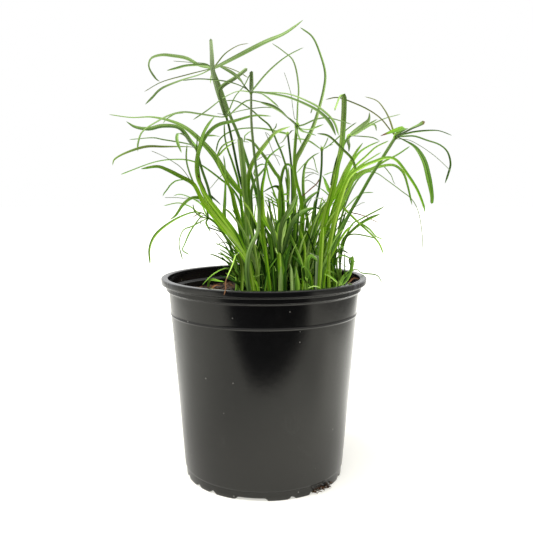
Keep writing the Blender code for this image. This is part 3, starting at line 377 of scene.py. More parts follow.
# Umbels: the stem each stands on, then its bracts as end depth, widths and course from the crown
UMBELS = {
    "umbel_1": ("stem_1", (
        (40, (2.4, 3.0, 2.6, 1.8), (
            (-50, 327.6), (-60, 333), (-71, 335), (-80, 335.6), (-88, 333), (-89.8, 326.3), (-85, 318),
            (-81.5, 315.3))),
        (8, (1.8, 2.8, 4.0), ((-45, 328), (-60, 327.6), (-69, 325.4), (-76, 323.7))),
        (24, (1.2, 1.0, 0.9), ((-50, 323), (-60, 320.5), (-80, 315), (-94, 307.5))),
        (-12, (1.6, 1.9, 1.7), ((-50, 320.8), (-64, 316.6), (-80, 310.2), (-88, 302.8), (-93.5, 297.6))),
        (60, (1.4, 1.2, 0.9), ((-37.5, 328), (-30, 336.7), (-20, 342.7), (-11.7, 344.4))),
        (34, (2.6, 3.8, 4.8, 2.4), (
            (-36, 327), (-20, 335), (0, 345), (15, 351.3), (24, 357), (30.5, 362))),
        (-8, (1.2, 1.1, 0.9), ((-37, 327), (-30, 326.4), (-20, 322.8), (-12, 318))),
    )),
    "umbel_2": ("stem_2", (
        (-34, (2.6, 3.4, 1.8), (
            (-12.5, 309), (-17.8, 316.2), (-24.8, 322), (-33.7, 326.5), (-37.5, 327.3))),
        (-62, (2.6, 3.2, 2.6), ((-9.8, 310), (-9.7, 317), (-9.8, 323.5))),
        (12, (1.4, 1.4, 1.1), ((-8.5, 309), (1, 320.3), (10.3, 329), (19.6, 335.6), (31, 341.3))),
        (-52, (1.8, 2.2, 3.0, 3.2), (
            (0, 306.8), (18.5, 303.5), (35.3, 296.9), (45.5, 290.7), (52.6, 283), (57, 273.5))),
        (-74, (1.6, 1.6, 1.2), ((-2.5, 306.2), (1.7, 303.9), (6, 300.6), (12, 295.5))),
        (-44, (1.2, 1.1, 0.9), ((-18, 312), (-30, 315.5), (-50, 317.3), (-64, 316))),
        (-6, (1.4, 1.3, 1.0), ((-20, 308), (-31.5, 303), (-44, 293.6), (-56, 285.8))),
    )),
    "umbel_3": ("stem_3", (
        (-10, (3.6, 4.6, 3.6, 2.4), (
            (-30.5, 291), (-33.5, 301), (-37, 312), (-40, 324), (-40.6, 336), (-41.3, 348))),
        (-31, (1.4, 1.6, 1.8, 1.4), (
            (-34, 288), (-49.6, 290.3), (-63, 291.9), (-74, 289.6), (-84.3, 284.5), (-95.7, 277),
            (-99.6, 268), (-100, 261))),
        (20, (1.6, 1.5, 1.0), ((-27, 289.5), (-20.3, 295.7), (-12, 300.9), (0, 299))),
        (44, (1.1, 1.0, 0.8), ((-24, 291.6), (-12.8, 294), (0, 295.5), (7, 295))),
        (26, (1.3, 1.2, 0.9), ((-27, 294), (-22.4, 304), (-15.5, 312), (-10.5, 321.5))),
        (-24, (2.0, 2.8, 3.0, 2.6), (
            (-30.5, 291), (-33, 300), (-35, 307.5), (-31.5, 312.5), (-22.6, 318), (-12.8, 325.4))),
    )),
    "umbel_4": ("stem_4", (
        (-46, (1.3, 1.5, 2.2, 1.8), (
            (-60, 265), (-79, 265), (-93.3, 265), (-107.8, 260.8), (-118.2, 255.4), (-120.4, 250.2))),
        (-14, (1.2, 1.1, 0.9), ((-60.3, 267.2), (-79.8, 270.5), (-88.3, 271.9), (-106.7, 270.5))),
        (22, (3.8, 3.0, 3.9, 2.0), (
            (-58, 269), (-66.5, 279.5), (-79.6, 281.2), (-91, 278.9), (-101.5, 280.3), (-108.8, 284.7))),
        (-74, (2.2, 3.0, 2.0), ((-57, 267), (-62, 273.5), (-67.5, 275.5), (-68.8, 270), (-65.3, 260))),
    )),
    "umbel_5": ("stem_5", (
        (24, (1.6, 1.4, 1.1), ((102.5, 277), (98.9, 286.8), (94.4, 294.6), (88.6, 300.8), (79, 303.9))),
        (8, (1.5, 1.3, 1.0), (
            (101, 276.5), (92.3, 286.8), (82, 293.8), (70.2, 299.1), (58.3, 303), (48.5, 301.5))),
        (-34, (3.8, 5.0, 5.4), ((108, 275), (116, 279.5), (122, 282), (127.3, 284.3))),
        (-54, (2.6, 4.6, 4.4, 2.8), ((107, 276.4), (112, 280), (107, 278.6), (99.5, 276), (92, 273.2))),
        (12, (1.4, 1.6, 1.7, 1.0), (
            (110, 274.4), (118.8, 276.5), (130.4, 277.6), (139.2, 277.2), (149, 273.6))),
        (-22, (1.5, 1.9, 1.9, 1.4), (
            (110.2, 273), (119, 273.2), (129.3, 269.9), (139.1, 266.6), (145.6, 261), (148.4, 252.1),
            (147.1, 244.6), (144.5, 236))),
        (-48, (1.6, 2.4, 3.8, 4.0, 2.2), (
            (110.2, 270.5), (120.1, 264.6), (127.2, 254.3), (131.2, 241.1), (134.3, 226.8),
            (134.4, 219.7))),
    )),
    "umbel_6": ("stem_6", (
        (6, (1.8, 2.5, 1.2), ((43.2, 264.6), (36.5, 269), (29, 271), (22, 270.7))),
        (54, (1.4, 1.3, 1.0), ((49.6, 264.3), (55.8, 269.3), (65.8, 278.5), (73.3, 284))),
        (66, (1.2, 1.1, 0.9), ((48, 265.5), (49.9, 269.6), (51, 272.5))),
    )),
    "umbel_7": ("stem_7", (
        (-52, (3.2, 3.8, 2.0), ((22.7, 285), (16, 290.7), (7.2, 296.1), (-5, 300.3))),
        (-2, (1.4, 1.3, 1.1), (
            (26.3, 285), (26.6, 296.5), (27.2, 312), (23.4, 330.3), (15, 338.5), (6.2, 344.5))),
        (-34, (1.4, 1.2, 1.0), ((31.1, 281.9), (42, 286.5), (52.7, 287), (69.7, 282.3))),
        (-60, (1.6, 2.0, 1.4), ((30, 279), (36.5, 278.5), (47.3, 282.4))),
        (-76, (1.6, 2.0, 1.4), ((30, 277.3), (34.3, 275.9), (41.5, 273.6))),
        (-66, (1.6, 1.6, 1.2), ((26.4, 276), (27.8, 272.5), (29.8, 266.7))),
    )),
    "umbel_8": ("stem_8", (
        (40, (2.0, 2.0, 1.7, 1.1), (
            (12.6, 276.3), (-4.6, 279.4), (-22.4, 278.1), (-34.5, 271.2), (-38.3, 260))),
        (48, (1.8, 2.0, 1.3), ((17, 272), (15.1, 269.2), (10.9, 266.5))),
        (-12, (1.6, 1.6, 1.2), ((20.5, 275.5), (22.3, 277.6), (24.8, 278))),
    )),
    "umbel_9": ("stem_9", (
        (62, (2.6, 5.6, 5.2, 2.6), (
            (70.5, 275.2), (75.5, 278.8), (80, 282.3), (83, 286.5), (83.2, 291.9))),
        (38, (1.8, 2.6, 1.8), ((71, 274.6), (78, 279), (84, 283), (89.7, 286.4))),
        (8, (1.6, 2.6, 2.2, 1.8), ((72, 274.4), (79, 278.6), (85, 282), (88, 281.5), (89, 276.9))),
        (24, (1.2, 1.1, 0.9), ((70, 273.4), (80, 279.4), (94.2, 286.4), (107.9, 290.3))),
        (54, (2.2, 3.0, 2.4), ((66.6, 269.4), (67.6, 265.5), (67.4, 260.6))),
        (14, (1.2, 1.1, 0.9), ((70, 273.4), (81.4, 272.7), (87, 271.8), (91.8, 269.4))),
    )),
}

# Single leaves: foot (x, y), depths and widths from foot to tip, then the course above the foot
LEAVES = {
    "leaf_left_high": ((-8, 13), (12, 9, 4, 20), (2.6, 2.6, 3.6, 5.0, 3.5, 1.9, 1.0), (
        (-14.5, 172), (-16.4, 190), (-15.6, 205), (-13, 216), (-14.8, 225), (-20.1, 230.9),
        (-26.5, 238.5), (-33, 247.6), (-38.7, 257), (-47.8, 267.5), (-60, 278.4), (-72, 284.5),
        (-88, 288), (-104.8, 287.7), (-122, 290))),
    "leaf_left_curled": ((-4, -15), (-15, -15, -15, -16), (2.8, 4.2, 4.6, 3.0, 2.8, 2.4), (
        (-10.5, 167), (-14.6, 179), (-22.6, 195), (-36, 213), (-43.5, 222.5), (-49, 231.5), (-52.6, 240),
        (-53.6, 248.8), (-52.5, 259), (-48.5, 273.4), (-44, 282), (-38.5, 289))),
    "leaf_left_crossing": ((-8, -11), (-10.5, -10.5, -10, -9), (2.6, 3.2, 3.0, 2.8, 2.8, 1.2), (
        (-11.5, 166), (-15.4, 178), (-23.5, 193), (-36, 209), (-45.4, 222.5), (-50.5, 235),
        (-52.6, 248.8), (-51.8, 260), (-48, 269.7), (-42.2, 277.6), (-34.7, 282.5), (-22.6, 285.2),
        (-7.8, 289.1), (6, 288.7))),
    "leaf_left_low": ((-12, 22), (21, 19, 16, 36), (2.0, 2.0, 1.8, 1.6, 1.6, 1.2), (
        (-14.5, 172), (-16.6, 190), (-17.5, 208), (-19.5, 222), (-26, 232.4), (-34.1, 239.1),
        (-45.6, 247.8), (-55, 253), (-67.4, 255), (-86.7, 252.9), (-114.2, 243))),
    "leaf_left_arching": ((-7, -20), (-20, -20, -22, -52), (2.8, 4.0, 4.6, 3.2, 3.0, 1.4), (
        (-11.5, 167), (-16.4, 179), (-25.5, 192), (-39.8, 209.5), (-48.6, 221), (-53.6, 231.5),
        (-57.6, 236.8), (-66.8, 241.7), (-76.7, 246.7), (-85, 249.4), (-98, 247.4))),
    "leaf_left_upright": ((-11, 2), (2, 3, 2, 0), (2.0, 2.0, 1.8, 1.6, 1.5, 1.2), (
        (-13.5, 170), (-19, 183), (-30, 199), (-41.6, 213), (-49.8, 226), (-55.4, 235), (-60.1, 247.4),
        (-61.6, 256.4), (-60.8, 266.7))),
    "leaf_forked": ((-15, 9.5), (9, 6, -3, 2), (2.6, 3.0, 4.0, 4.0, 2.4, 1.6, 1.0), (
        (-15, 172), (-17.8, 192), (-20.2, 207), (-23.2, 218), (-25.6, 229), (-29.6, 237.5), (-34, 246),
        (-36.8, 255), (-35.6, 261), (-31.3, 266.6), (-22, 270.5))),
    "leaf_slender_left": ((-8, 17), (17, 16, 12, 8), (1.8, 1.8, 1.8, 1.8, 1.2), (
        (-12, 175), (-14.6, 190), (-16.4, 205), (-18, 222), (-20.6, 238), (-25.1, 253), (-28.8, 263.4),
        (-30.9, 273), (-31.3, 283.5))),
    "leaf_centre_broad": ((-8, 6), (6, 2, -6, -8), (2.8, 3.2, 4.4, 4.8, 4.6), (
        (-12, 172), (-13, 190), (-13.4, 206), (-13.8, 218), (-15.2, 230), (-16, 243), (-17.6, 259.2),
        (-19, 272.6))),
    "leaf_centre_bright": ((-3, 9), (8, 4, -8, -22), (2.4, 2.4, 2.8, 3.4, 3.4, 2.0), (
        (-8.6, 175), (-10, 195), (-11.4, 215), (-12.6, 232), (-11.5, 245), (-7.2, 255.4), (0.9, 266.3),
        (9.3, 275.9), (21, 280.8))),
    "leaf_dark_upright": ((-6, -2), (-2, -1, 2, 8), (2.4, 2.6, 3.2, 3.0, 1.6, 1.0), (
        (-11, 165), (-15.5, 176), (-22.5, 189), (-29, 199.5), (-31.7, 210), (-31.2, 223), (-30.6, 237),
        (-30.8, 248), (-32, 258.3))),
    "leaf_crossing_left": ((16, 3), (3, 4, 3, 0), (2.4, 2.6, 2.6, 2.8, 2.6, 1.4), (
        (16.4, 175), (16, 200), (15.4, 222), (12.6, 238.9), (8.8, 244.8), (3, 253.8), (-3.3, 262.1),
        (-9.6, 269.2), (-16.2, 271.3))),
    "leaf_long_arch": ((21, 8), (8, 6, 0, -10), (2.0, 2.0, 2.2, 1.6, 1.4, 1.0), (
        (22.6, 163.8), (20, 177), (19.4, 200), (19.2, 225), (18.4, 245), (14.3, 259.6), (10.5, 268.3),
        (5, 280.5), (-2.3, 287), (-11.7, 295), (-21.7, 300.3), (-31, 300.7))),
    "leaf_tall_arch": ((24, 2), (3, 0, -6, -4, 10), (2.4, 2.8, 3.2, 3.8, 2.4, 1.7, 1.2), (
        (24.4, 175), (25, 200), (24.4, 225), (24.4, 250), (29.6, 262.5), (38, 278.3), (43.2, 293.7),
        (47.2, 310.2), (48, 322), (44.3, 335.4), (38, 349), (28.2, 356.4))),
    "leaf_bright_bowed": ((4, -12), (-10, -9, -9, 2), (2.4, 3.0, 3.6, 2.8, 1.9, 1.2), (
        (2.6, 168.4), (0.8, 182.2), (-1.2, 200), (-1.2, 218), (-1.6, 231.3), (0.7, 244), (2.5, 254.2),
        (7.6, 260.5), (16.8, 266.3))),
    "leaf_short_crossing": ((-4, 3), (2, -3, -14, -20), (2.2, 2.4, 2.5, 1.4), (
        (-8, 185), (-9.4, 210), (-10.2, 228), (-6.9, 239), (-2.3, 244.4), (4, 252))),
    "leaf_hooked": ((13, -12), (-12, -14, -13, -20), (2.6, 2.8, 2.8, 2.6, 1.8), (
        (13.4, 170), (12.8, 195), (12.3, 212), (12.8, 230), (14.7, 244), (17.6, 250.6), (20.6, 250.6),
        (22.8, 246.5))),
    "leaf_folded_left": ((16, -6), (-5, -4, -3, -20), (2.6, 2.8, 3.0, 3.2, 1.8), (
        (16, 170), (15.4, 195), (14.6, 215), (13.4, 229), (10.4, 233.7), (5.4, 232.6), (-1.5, 228.5))),
    "leaf_thin_left": ((12, 7), (6, 6, 10, 16), (1.8, 1.7, 1.6, 1.1), (
        (13, 180), (12.8, 203), (11.2, 219), (8.7, 227), (6, 234.5), (3.6, 242), (2, 251))),
    "leaf_dark_right": ((30, 6), (6, 6, 10), (2.4, 3.0, 3.6, 2.6), (
        (27, 172), (26, 192), (26.2, 207), (30.8, 217.3), (35.9, 224.1), (45, 231))),
    "leaf_slim_right": ((36, 12), (12, 11, 11, 20), (2.2, 2.4, 2.8, 2.4, 1.3), (
        (38, 175), (36, 200), (32.3, 222), (31.3, 238), (33.1, 250.8), (38.5, 257.1), (44.2, 260.4))),
    "leaf_folded_tip": ((38, -14), (-14, -13, -12, -6, -20), (3.6, 4.4, 4.6, 4.4, 4.2, 3.8), (
        (43, 158), (46, 172), (46.6, 190), (49, 208), (52.6, 222.2), (56.5, 238), (58.5, 251),
        (61.4, 263.1), (62.7, 281.9), (63.2, 298), (62.6, 304.6), (60.2, 303.6), (58.2, 298.6),
        (56, 292.8))),
    "leaf_right_middle": ((23, -6), (-6, -6, -7, -18), (2.8, 4.8, 5.6, 4.8, 3.0, 1.6), (
        (24.8, 172), (29.6, 182), (36, 193), (41.6, 204), (48.3, 215.7), (55, 224.4), (60, 233.6),
        (64.4, 244.6), (68.2, 251.6), (73.1, 260.6), (78.5, 268.1))),
    "leaf_right_back": ((44, 1), (1, 2, 3, 16), (2.6, 3.0, 3.0, 2.4, 1.3), (
        (47, 172), (50, 192), (54, 210), (59, 225), (64, 238), (69.5, 251), (75.6, 260.2), (83.5, 265.6),
        (91.9, 269.2))),
    "leaf_right_crossing": ((48, -8), (-12, -14, -22, -36), (2.4, 2.8, 2.6, 2.2, 1.3), (
        (50, 175), (54, 195), (60.4, 214), (67, 229), (72.6, 243), (70.5, 254.5), (62, 263.5),
        (51.6, 273.1), (42, 275.3))),
    "leaf_right_slender": ((49, 13), (13, 14, 18, 36), (2.4, 2.6, 2.4, 1.9, 1.1), (
        (51, 178), (54.6, 200), (59.6, 222), (66.1, 240.4), (73.7, 250.6), (81.3, 257.6), (88.9, 264.6),
        (99, 269.6))),
    "leaf_right_thin": ((52, 18), (18, 19, 24, 50), (1.8, 1.8, 1.6, 1.1), (
        (53, 185), (57, 212), (64, 235), (70.9, 245.3), (79.7, 252.2), (93, 260.6))),
    "leaf_right_rising": ((43, 8), (8, 8, 12, 40), (2.4, 2.8, 3.0, 2.6, 1.7, 1.1), (
        (48, 182), (52.6, 204), (59, 222), (66.6, 236.2), (76.7, 244.6), (86.9, 248.2), (97.4, 254.4),
        (106.2, 258.8), (115.8, 265.3))),
    "leaf_right_drooping": ((51, -25), (-25, -25, -26, -46), (2.6, 3.0, 2.8, 3.0, 2.8, 1.4), (
        (52.4, 178), (55.6, 200), (61, 222), (68, 241), (78.5, 249.2), (88.6, 253.6), (97.5, 256.4),
        (105.3, 254.4), (114.2, 243.5), (122, 232), (127.3, 220.1), (129.3, 212.7))),
    "leaf_right_lower": ((54, -4), (-4, -4, -2, -14), (2.6, 3.0, 3.0, 2.4, 2.6, 1.4), (
        (55, 182), (57.6, 205), (63, 226), (71, 238), (79.3, 244.4), (90, 248.6), (99.1, 250.6),
        (105.4, 249.6), (111.2, 244), (114.8, 234), (118.6, 218.9))),
    "leaf_right_hanging": ((56, 6), (6, 8, 20, 56), (1.8, 1.8, 1.5, 1.2, 1.3, 0.9), (
        (59, 190), (63, 212), (70, 231), (79, 243.4), (88.6, 244.6), (99, 238), (110, 230),
        (118.3, 223.5), (123.8, 213.9), (127, 199), (128.6, 182))),
    "leaf_right_bent": ((57, -12), (-12, -8, -8, -24), (2.2, 2.4, 2.4, 2.2, 1.2), (
        (56, 180), (55.4, 200), (56.6, 215), (59.8, 220), (65, 215.4), (75.2, 205.5), (86.4, 195.3),
        (93, 187.7), (96.7, 179))),
    "leaf_over_rim": ((-17, -31), (-36, -46, -66, -82.5), (1.8, 2.4, 2.6, 1.8, 0.9), (
        (-17.6, 166), (-19.8, 177.4), (-22.6, 178.2), (-25.6, 169.8), (-29.4, 161.5), (-31.4, 155.5),
        (-31.1, 151.3), (-32.6, 145.4))),
}

# Tillers: foot (x, y), depth at the top of the stalk, the stalk's widths and course, then each
# short leaf that grows from the stalk's top as end depth, widths and course
TILLERS = {
    "tiller_left_low": ((-19, 2), 0, (2.6, 2.4, 2.0), (
        (-21, 167), (-24, 176), (-27.8, 187.5), (-33, 196.5), (-39, 204.5), (-44.6, 208.6)), (
        (26, (1.3, 1.3, 0.9), ((-47.5, 214), (-50, 219.4), (-57.7, 224.3), (-66.8, 227.4), (-72.5, 226))),
        (-18, (1.4, 2.0, 2.5, 1.6), (
            (-46, 217), (-50, 224.2), (-57.7, 224.5), (-64.5, 219.4), (-70.8, 210.5), (-75.9, 207))),
        (40, (1.3, 1.1, 0.9), ((-50.1, 209.8), (-57.3, 216.5), (-67.9, 220.5), (-80.4, 218.2))),
        (-30, (1.4, 1.6, 2.2, 1.2), (
            (-50, 212.6), (-58.9, 212.6), (-73.3, 206.2), (-86.5, 195.9), (-92.2, 184.5),
            (-92.1, 170.4))),
        (14, (1.2, 1.1, 1.0), ((-49, 206.4), (-58.1, 201.6), (-65, 198.5), (-68.4, 188), (-65.7, 174.5))),
        (-52, (1.1, 1.0, 1.4, 0.8), (
            (-48.4, 210.4), (-51.8, 208.1), (-59.3, 197.5), (-64, 187.1), (-65.7, 182.5),
            (-59.7, 178.6))),
        (-14, (1.4, 1.6, 1.1), ((-46.4, 204.9), (-45.1, 201.5), (-42.5, 196.8))),
        (-44, (2.0, 2.5, 1.4), ((-50, 209.4), (-55.2, 213.4), (-56.8, 219.4))),
    )),
    "tiller_centre": ((15, -19), -20, (3.4, 3.0), ((13.7, 158), (12.6, 170)), (
        (-27, (2.6, 3.0, 3.6, 2.2), ((10.6, 182), (6.8, 199.6), (3.9, 207), (2.7, 215))),
        (-36, (2.8, 3.2, 3.6, 3.0), (
            (12.4, 188), (14.3, 203), (18.5, 211.8), (22.8, 218.6), (26.8, 228.4))),
        (-25, (2.2, 2.8, 3.4, 3.0), ((17.6, 188), (22.6, 204), (28, 211.2), (34, 215.4), (40.6, 217.3))),
    )),
    "tiller_left": ((-22, -14), -15, (3.4, 3.0), ((-21.7, 152), (-21.6, 159)), (
        (-46, (1.8, 2.4, 2.4, 1.2), (
            (-22, 162), (-26.7, 166.9), (-33.6, 166.7), (-42.3, 161.9), (-50.1, 154.1))),
        (-10, (1.5, 1.4, 1.0), ((-22.4, 165), (-24.9, 173.8), (-29.4, 177), (-38.6, 180.7))),
    )),
    "tiller_front": ((35, -30), -30, (3.4, 3.0), ((34.6, 151), (34.2, 158)), (
        (-46, (1.8, 2.0, 1.4), ((33, 158), (31, 167.4), (33.9, 168.4), (37.2, 163.4), (38.5, 156.8))),
        (-34, (2.4, 3.4, 3.0), ((35.4, 160), (35, 172), (37.3, 178.2), (41, 176.3), (43.7, 172.4))),
    )),
    "tiller_right": ((60, -26), -26, (4.0, 3.2), ((61.4, 150), (61.8, 153.4)), (
        (-20, (2.2, 3.0, 1.8), ((63, 157), (65, 161.6), (69.3, 166.5))),
        (-2, (2.0, 2.4, 3.2, 2.6), (
            (67, 158), (70.3, 165), (71.4, 173), (70.6, 177.4), (69, 174.4), (69.9, 169.6))),
        (16, (1.3, 1.2, 1.2, 0.9), ((65.6, 160), (73.9, 167), (79.9, 163.8), (91.3, 162.2), (96, 155.9))),
        (-34, (1.4, 1.5, 1.0), ((59.2, 167), (59.4, 176.4), (65.1, 178.1), (74.8, 172.4))),
    )),
    "tiller_right_front": ((58, -38), -38, (2.6, 2.4), ((59.4, 151), (60, 156)), (
        (-50, (1.6, 2.0, 1.2), ((59.6, 160.6), (56.6, 164.0), (51, 166.6))),
        (-32, (1.4, 1.5, 1.0), ((57, 158.6), (53, 161.6), (48.6, 163.3))),
    )),
    "tiller_right_side": ((61, 2), 2, (3.0, 2.8), ((61.4, 158), (61.6, 166)), (
        (26, (1.6, 1.5, 1.2), (
            (62, 175), (64.6, 189), (70.6, 203), (77, 207.2), (83.4, 210.7), (96.6, 217.6))),
        (-4, (1.7, 1.8, 2.4, 2.2), (
            (61.6, 172), (63.3, 189.6), (69.8, 197.2), (77.4, 203.8), (85.1, 208.3), (93.7, 211.9))),
        (-26, (1.4, 1.3, 1.0), ((62.4, 178), (66, 192), (71.1, 195.4), (79.8, 194.6), (90, 192.1))),
        (46, (1.4, 1.4, 1.0), ((60.4, 190), (62.9, 211), (71.1, 222.2), (78.8, 228.1), (87.7, 228.9))),
    )),
}


# How a piece looks: its tones from foot to tip, each from 0 dark to 1 pale, then how blue it is
# or, below 0, how far a high piece is kept from turning olive, then the share of its length from
# the tip that is brown or, below 0, how brown all of it is
PLAIN_LOOKS = {
    "leaf": ((0.20, 0.45, 0.60, 0.55), 0.0, 0.0),
    "bract": ((0.50, 0.46, 0.44), 0.25, 0.0),
    "stem": ((0.30, 0.38, 0.46), 0.25, 0.0),
    "tiller": ((0.40, 0.45, 0.42), 0.20, 0.0),
    "khaki": ((0.46, 0.42, 0.40), 0.2, -0.30),
    "green": ((0.42, 0.48, 0.42), 0.15, 0.0),
    "bright": ((0.60, 0.72, 0.68), 0.0, 0.0),
    "olive": ((0.35, 0.42, 0.45), 0.0, 0.0),
    "dark": ((0.02, 0.08, 0.10), 0.15, 0.0),
    "pale": ((0.88, 0.88, 0.85), 0.30, 0.0),
    "brown": ((0.40, 0.40, 0.40), 0.0, 1.0),
    "grey": ((0.50, 0.55, 0.50), 0.9, 0.0),
    "deep": ((-0.02, 0.12, 0.18), 0.10, 0.0),
    "mint": ((0.60, 0.72, 0.66), 0.45, 0.0),
}
LOOKS = {
    "leaf_left_high": ((0.26, 0.52, 0.60, 0.40, 0.34), 0.08, -0.05),
    "leaf_left_curled": ((0.48, 0.64, 0.54, 0.48), 0.02, 0.0),
    "leaf_left_crossing": ((0.42, 0.62, 0.50, 0.40), 0.02, 0.0),
    "leaf_left_arching": ((0.48, 0.68, 0.60, 0.40), 0.0, 0.0),
    "leaf_left_low": ((0.15, 0.30, 0.38, 0.38), 0.2, 0.0),
    "leaf_left_upright": ((0.40, 0.55, 0.50, 0.50), 0.3, 0.0),
    "leaf_forked": ((0.15, 0.45, 0.60, 0.62), 0.0, 0.0),
    "leaf_centre_broad": ((0.25, 0.48, 0.60, 0.62), 0.30, 0.0),
    "leaf_centre_bright": ((0.30, 0.55, 0.72, 0.74), 0.0, 0.0),
    "leaf_dark_upright": ((0.15, 0.20, 0.34, 0.44), 0.2, 0.0),
    "leaf_crossing_left": ((0.20, 0.42, 0.52, 0.50), 0.1, 0.0),
    "leaf_long_arch": ((0.75, 0.40, 0.45, 0.40), 0.1, 0.0),
    "leaf_tall_arch": ((0.25, 0.45, 0.62, 0.62, 0.42, 0.38), 0.1, 0.0),
    "leaf_bright_bowed": ((0.55, 0.72, 0.50, 0.45, 0.45), 0.0, 0.0),
    "leaf_short_crossing": ((0.18, 0.36, 0.42), 0.35, 0.0),
    "leaf_hooked": ((0.20, 0.42, 0.52, 0.42), 0.1, 0.0),
    "leaf_folded_left": ((0.10, 0.25, 0.35, 0.25), 0.1, 0.0),
    "leaf_dark_right": ((0.12, 0.22, 0.30, 0.34), 0.45, 0.0),
    "leaf_slim_right": ((0.22, 0.40, 0.45, 0.40), 0.3, 0.0),
    "leaf_folded_tip": ((0.55, 0.72, 0.66, 0.62, 0.64, 0.95), 0.0, 0.0),
    "leaf_right_middle": ((0.06, 0.12, 0.22, 0.40, 0.78, 0.82, 0.72, 0.60, 0.52), 0.0, 0.0),
    "leaf_right_back": ((0.50, 0.70, 0.62, 0.50), 0.0, 0.0),
    "leaf_right_crossing": ((0.50, 0.65, 0.50, 0.45), 0.1, 0.0),
    "leaf_right_slender": ((0.50, 0.75, 0.65, 0.50), 0.0, 0.0),
    "leaf_right_rising": ((0.55, 0.75, 0.62, 0.45), 0.0, 0.0),
    "leaf_right_drooping": ((0.65, 0.80, 0.62, 0.42), 0.0, 0.0),
    "leaf_right_lower": ((0.60, 0.75, 0.55, 0.35), 0.1, 0.0),
    "leaf_right_hanging": ((0.40, 0.40, 0.35, 0.35), 0.5, 0.0),
    "leaf_over_rim": ((0.60, 0.62, 0.75, 0.85), 0.1, 0.22),
    "stem_3": ((0.06, 0.08, 0.15), 0.3, 0.0),
    "stem_8": ((0.06, 0.08, 0.12), 0.3, 0.0),
    "stem_2": ((0.16, 0.34, 0.62, 0.30, 0.30, 0.45, 0.62), 0.55, 0.0),
    "stem_4": ((0.10, 0.20, 0.35), 0.4, 0.0),
    "stem_5": ((0.55, 0.42, 0.32, 0.36, 0.42), 0.35, 0.0),
    "stem_6": ((0.10, 0.12, 0.15, 0.20), 0.3, 0.0),
    "stem_7": ((0.15, 0.40, 0.62, 0.60), 0.0, 0.0),
    "umbel_9": ((0.66, 0.62, 0.50), 0.28, 0.0),
    "tiller_centre": ((0.16, 0.26, 0.40, 0.46), 0.45, 0.0),
}

# Single bracts and tiller leaves that look unlike their neighbours: node, place in its list
BRACT_LOOKS = {
    ("umbel_1", 2): PLAIN_LOOKS["khaki"],
    ("umbel_1", 4): PLAIN_LOOKS["khaki"],
    ("umbel_1", 6): PLAIN_LOOKS["khaki"],
    ("umbel_3", 0): ((0.72, 0.74, 0.70, 0.70, 0.96, 1.0), 0.40, 0.0),
    ("umbel_3", 5): ((0.52, 0.50, 0.48, 0.52, 0.58, 0.92), 0.3, 0.0),
    ("umbel_5", 0): ((0.42, 0.40, 0.38), 0.2, -0.35),
    ("umbel_5", 1): ((0.42, 0.40, 0.38), 0.2, -0.35),
    ("umbel_5", 2): ((0.36, 0.42, 0.28), 0.3, 0.04),
    ("umbel_5", 3): ((0.54, 0.66, 0.60), -0.25, 0.10),
    ("umbel_5", 6): ((0.44, 0.36, 0.34, 0.46), 0.2, 0.0),
    ("umbel_4", 0): ((0.40, 0.42, 0.50), 0.2, -0.22),
    ("umbel_4", 2): ((0.32, 0.40, 0.38), 0.2, 0.0),
}

# Leaves, and bracts by their place in the list, whose tips are rounded
BLUNT_TIPS = {
    ("umbel_2", 1), ("umbel_3", 0), ("umbel_3", 5), ("umbel_5", 2), ("umbel_5", 6),
    "leaf_centre_broad", "leaf_folded_tip",
}

# Leaves that stand in front of the clump's heart, where light still reaches their feet, so they get no
# painted heart shade
LIT_FEET = {
    "leaf_left_curled", "leaf_left_crossing", "leaf_left_arching", "leaf_bright_bowed",
    "leaf_folded_tip", "leaf_right_drooping", "leaf_over_rim", "stem_2", "stem_5", "stem_7",
    "tiller_left", "tiller_front", "tiller_right", "tiller_right_front", "strands_foot",
}

# The ends of the names of pieces that can carry a strand, how far a depth counts beside what
# the front shows when the nearest is sought, and how close a strand's base is moved onto it
CARRIER_NAMES = ("_culm", "_bracts", "_blade", "_shoot")
DEPTH_COUNTS = 0.25
BASE_REACH = 1.0

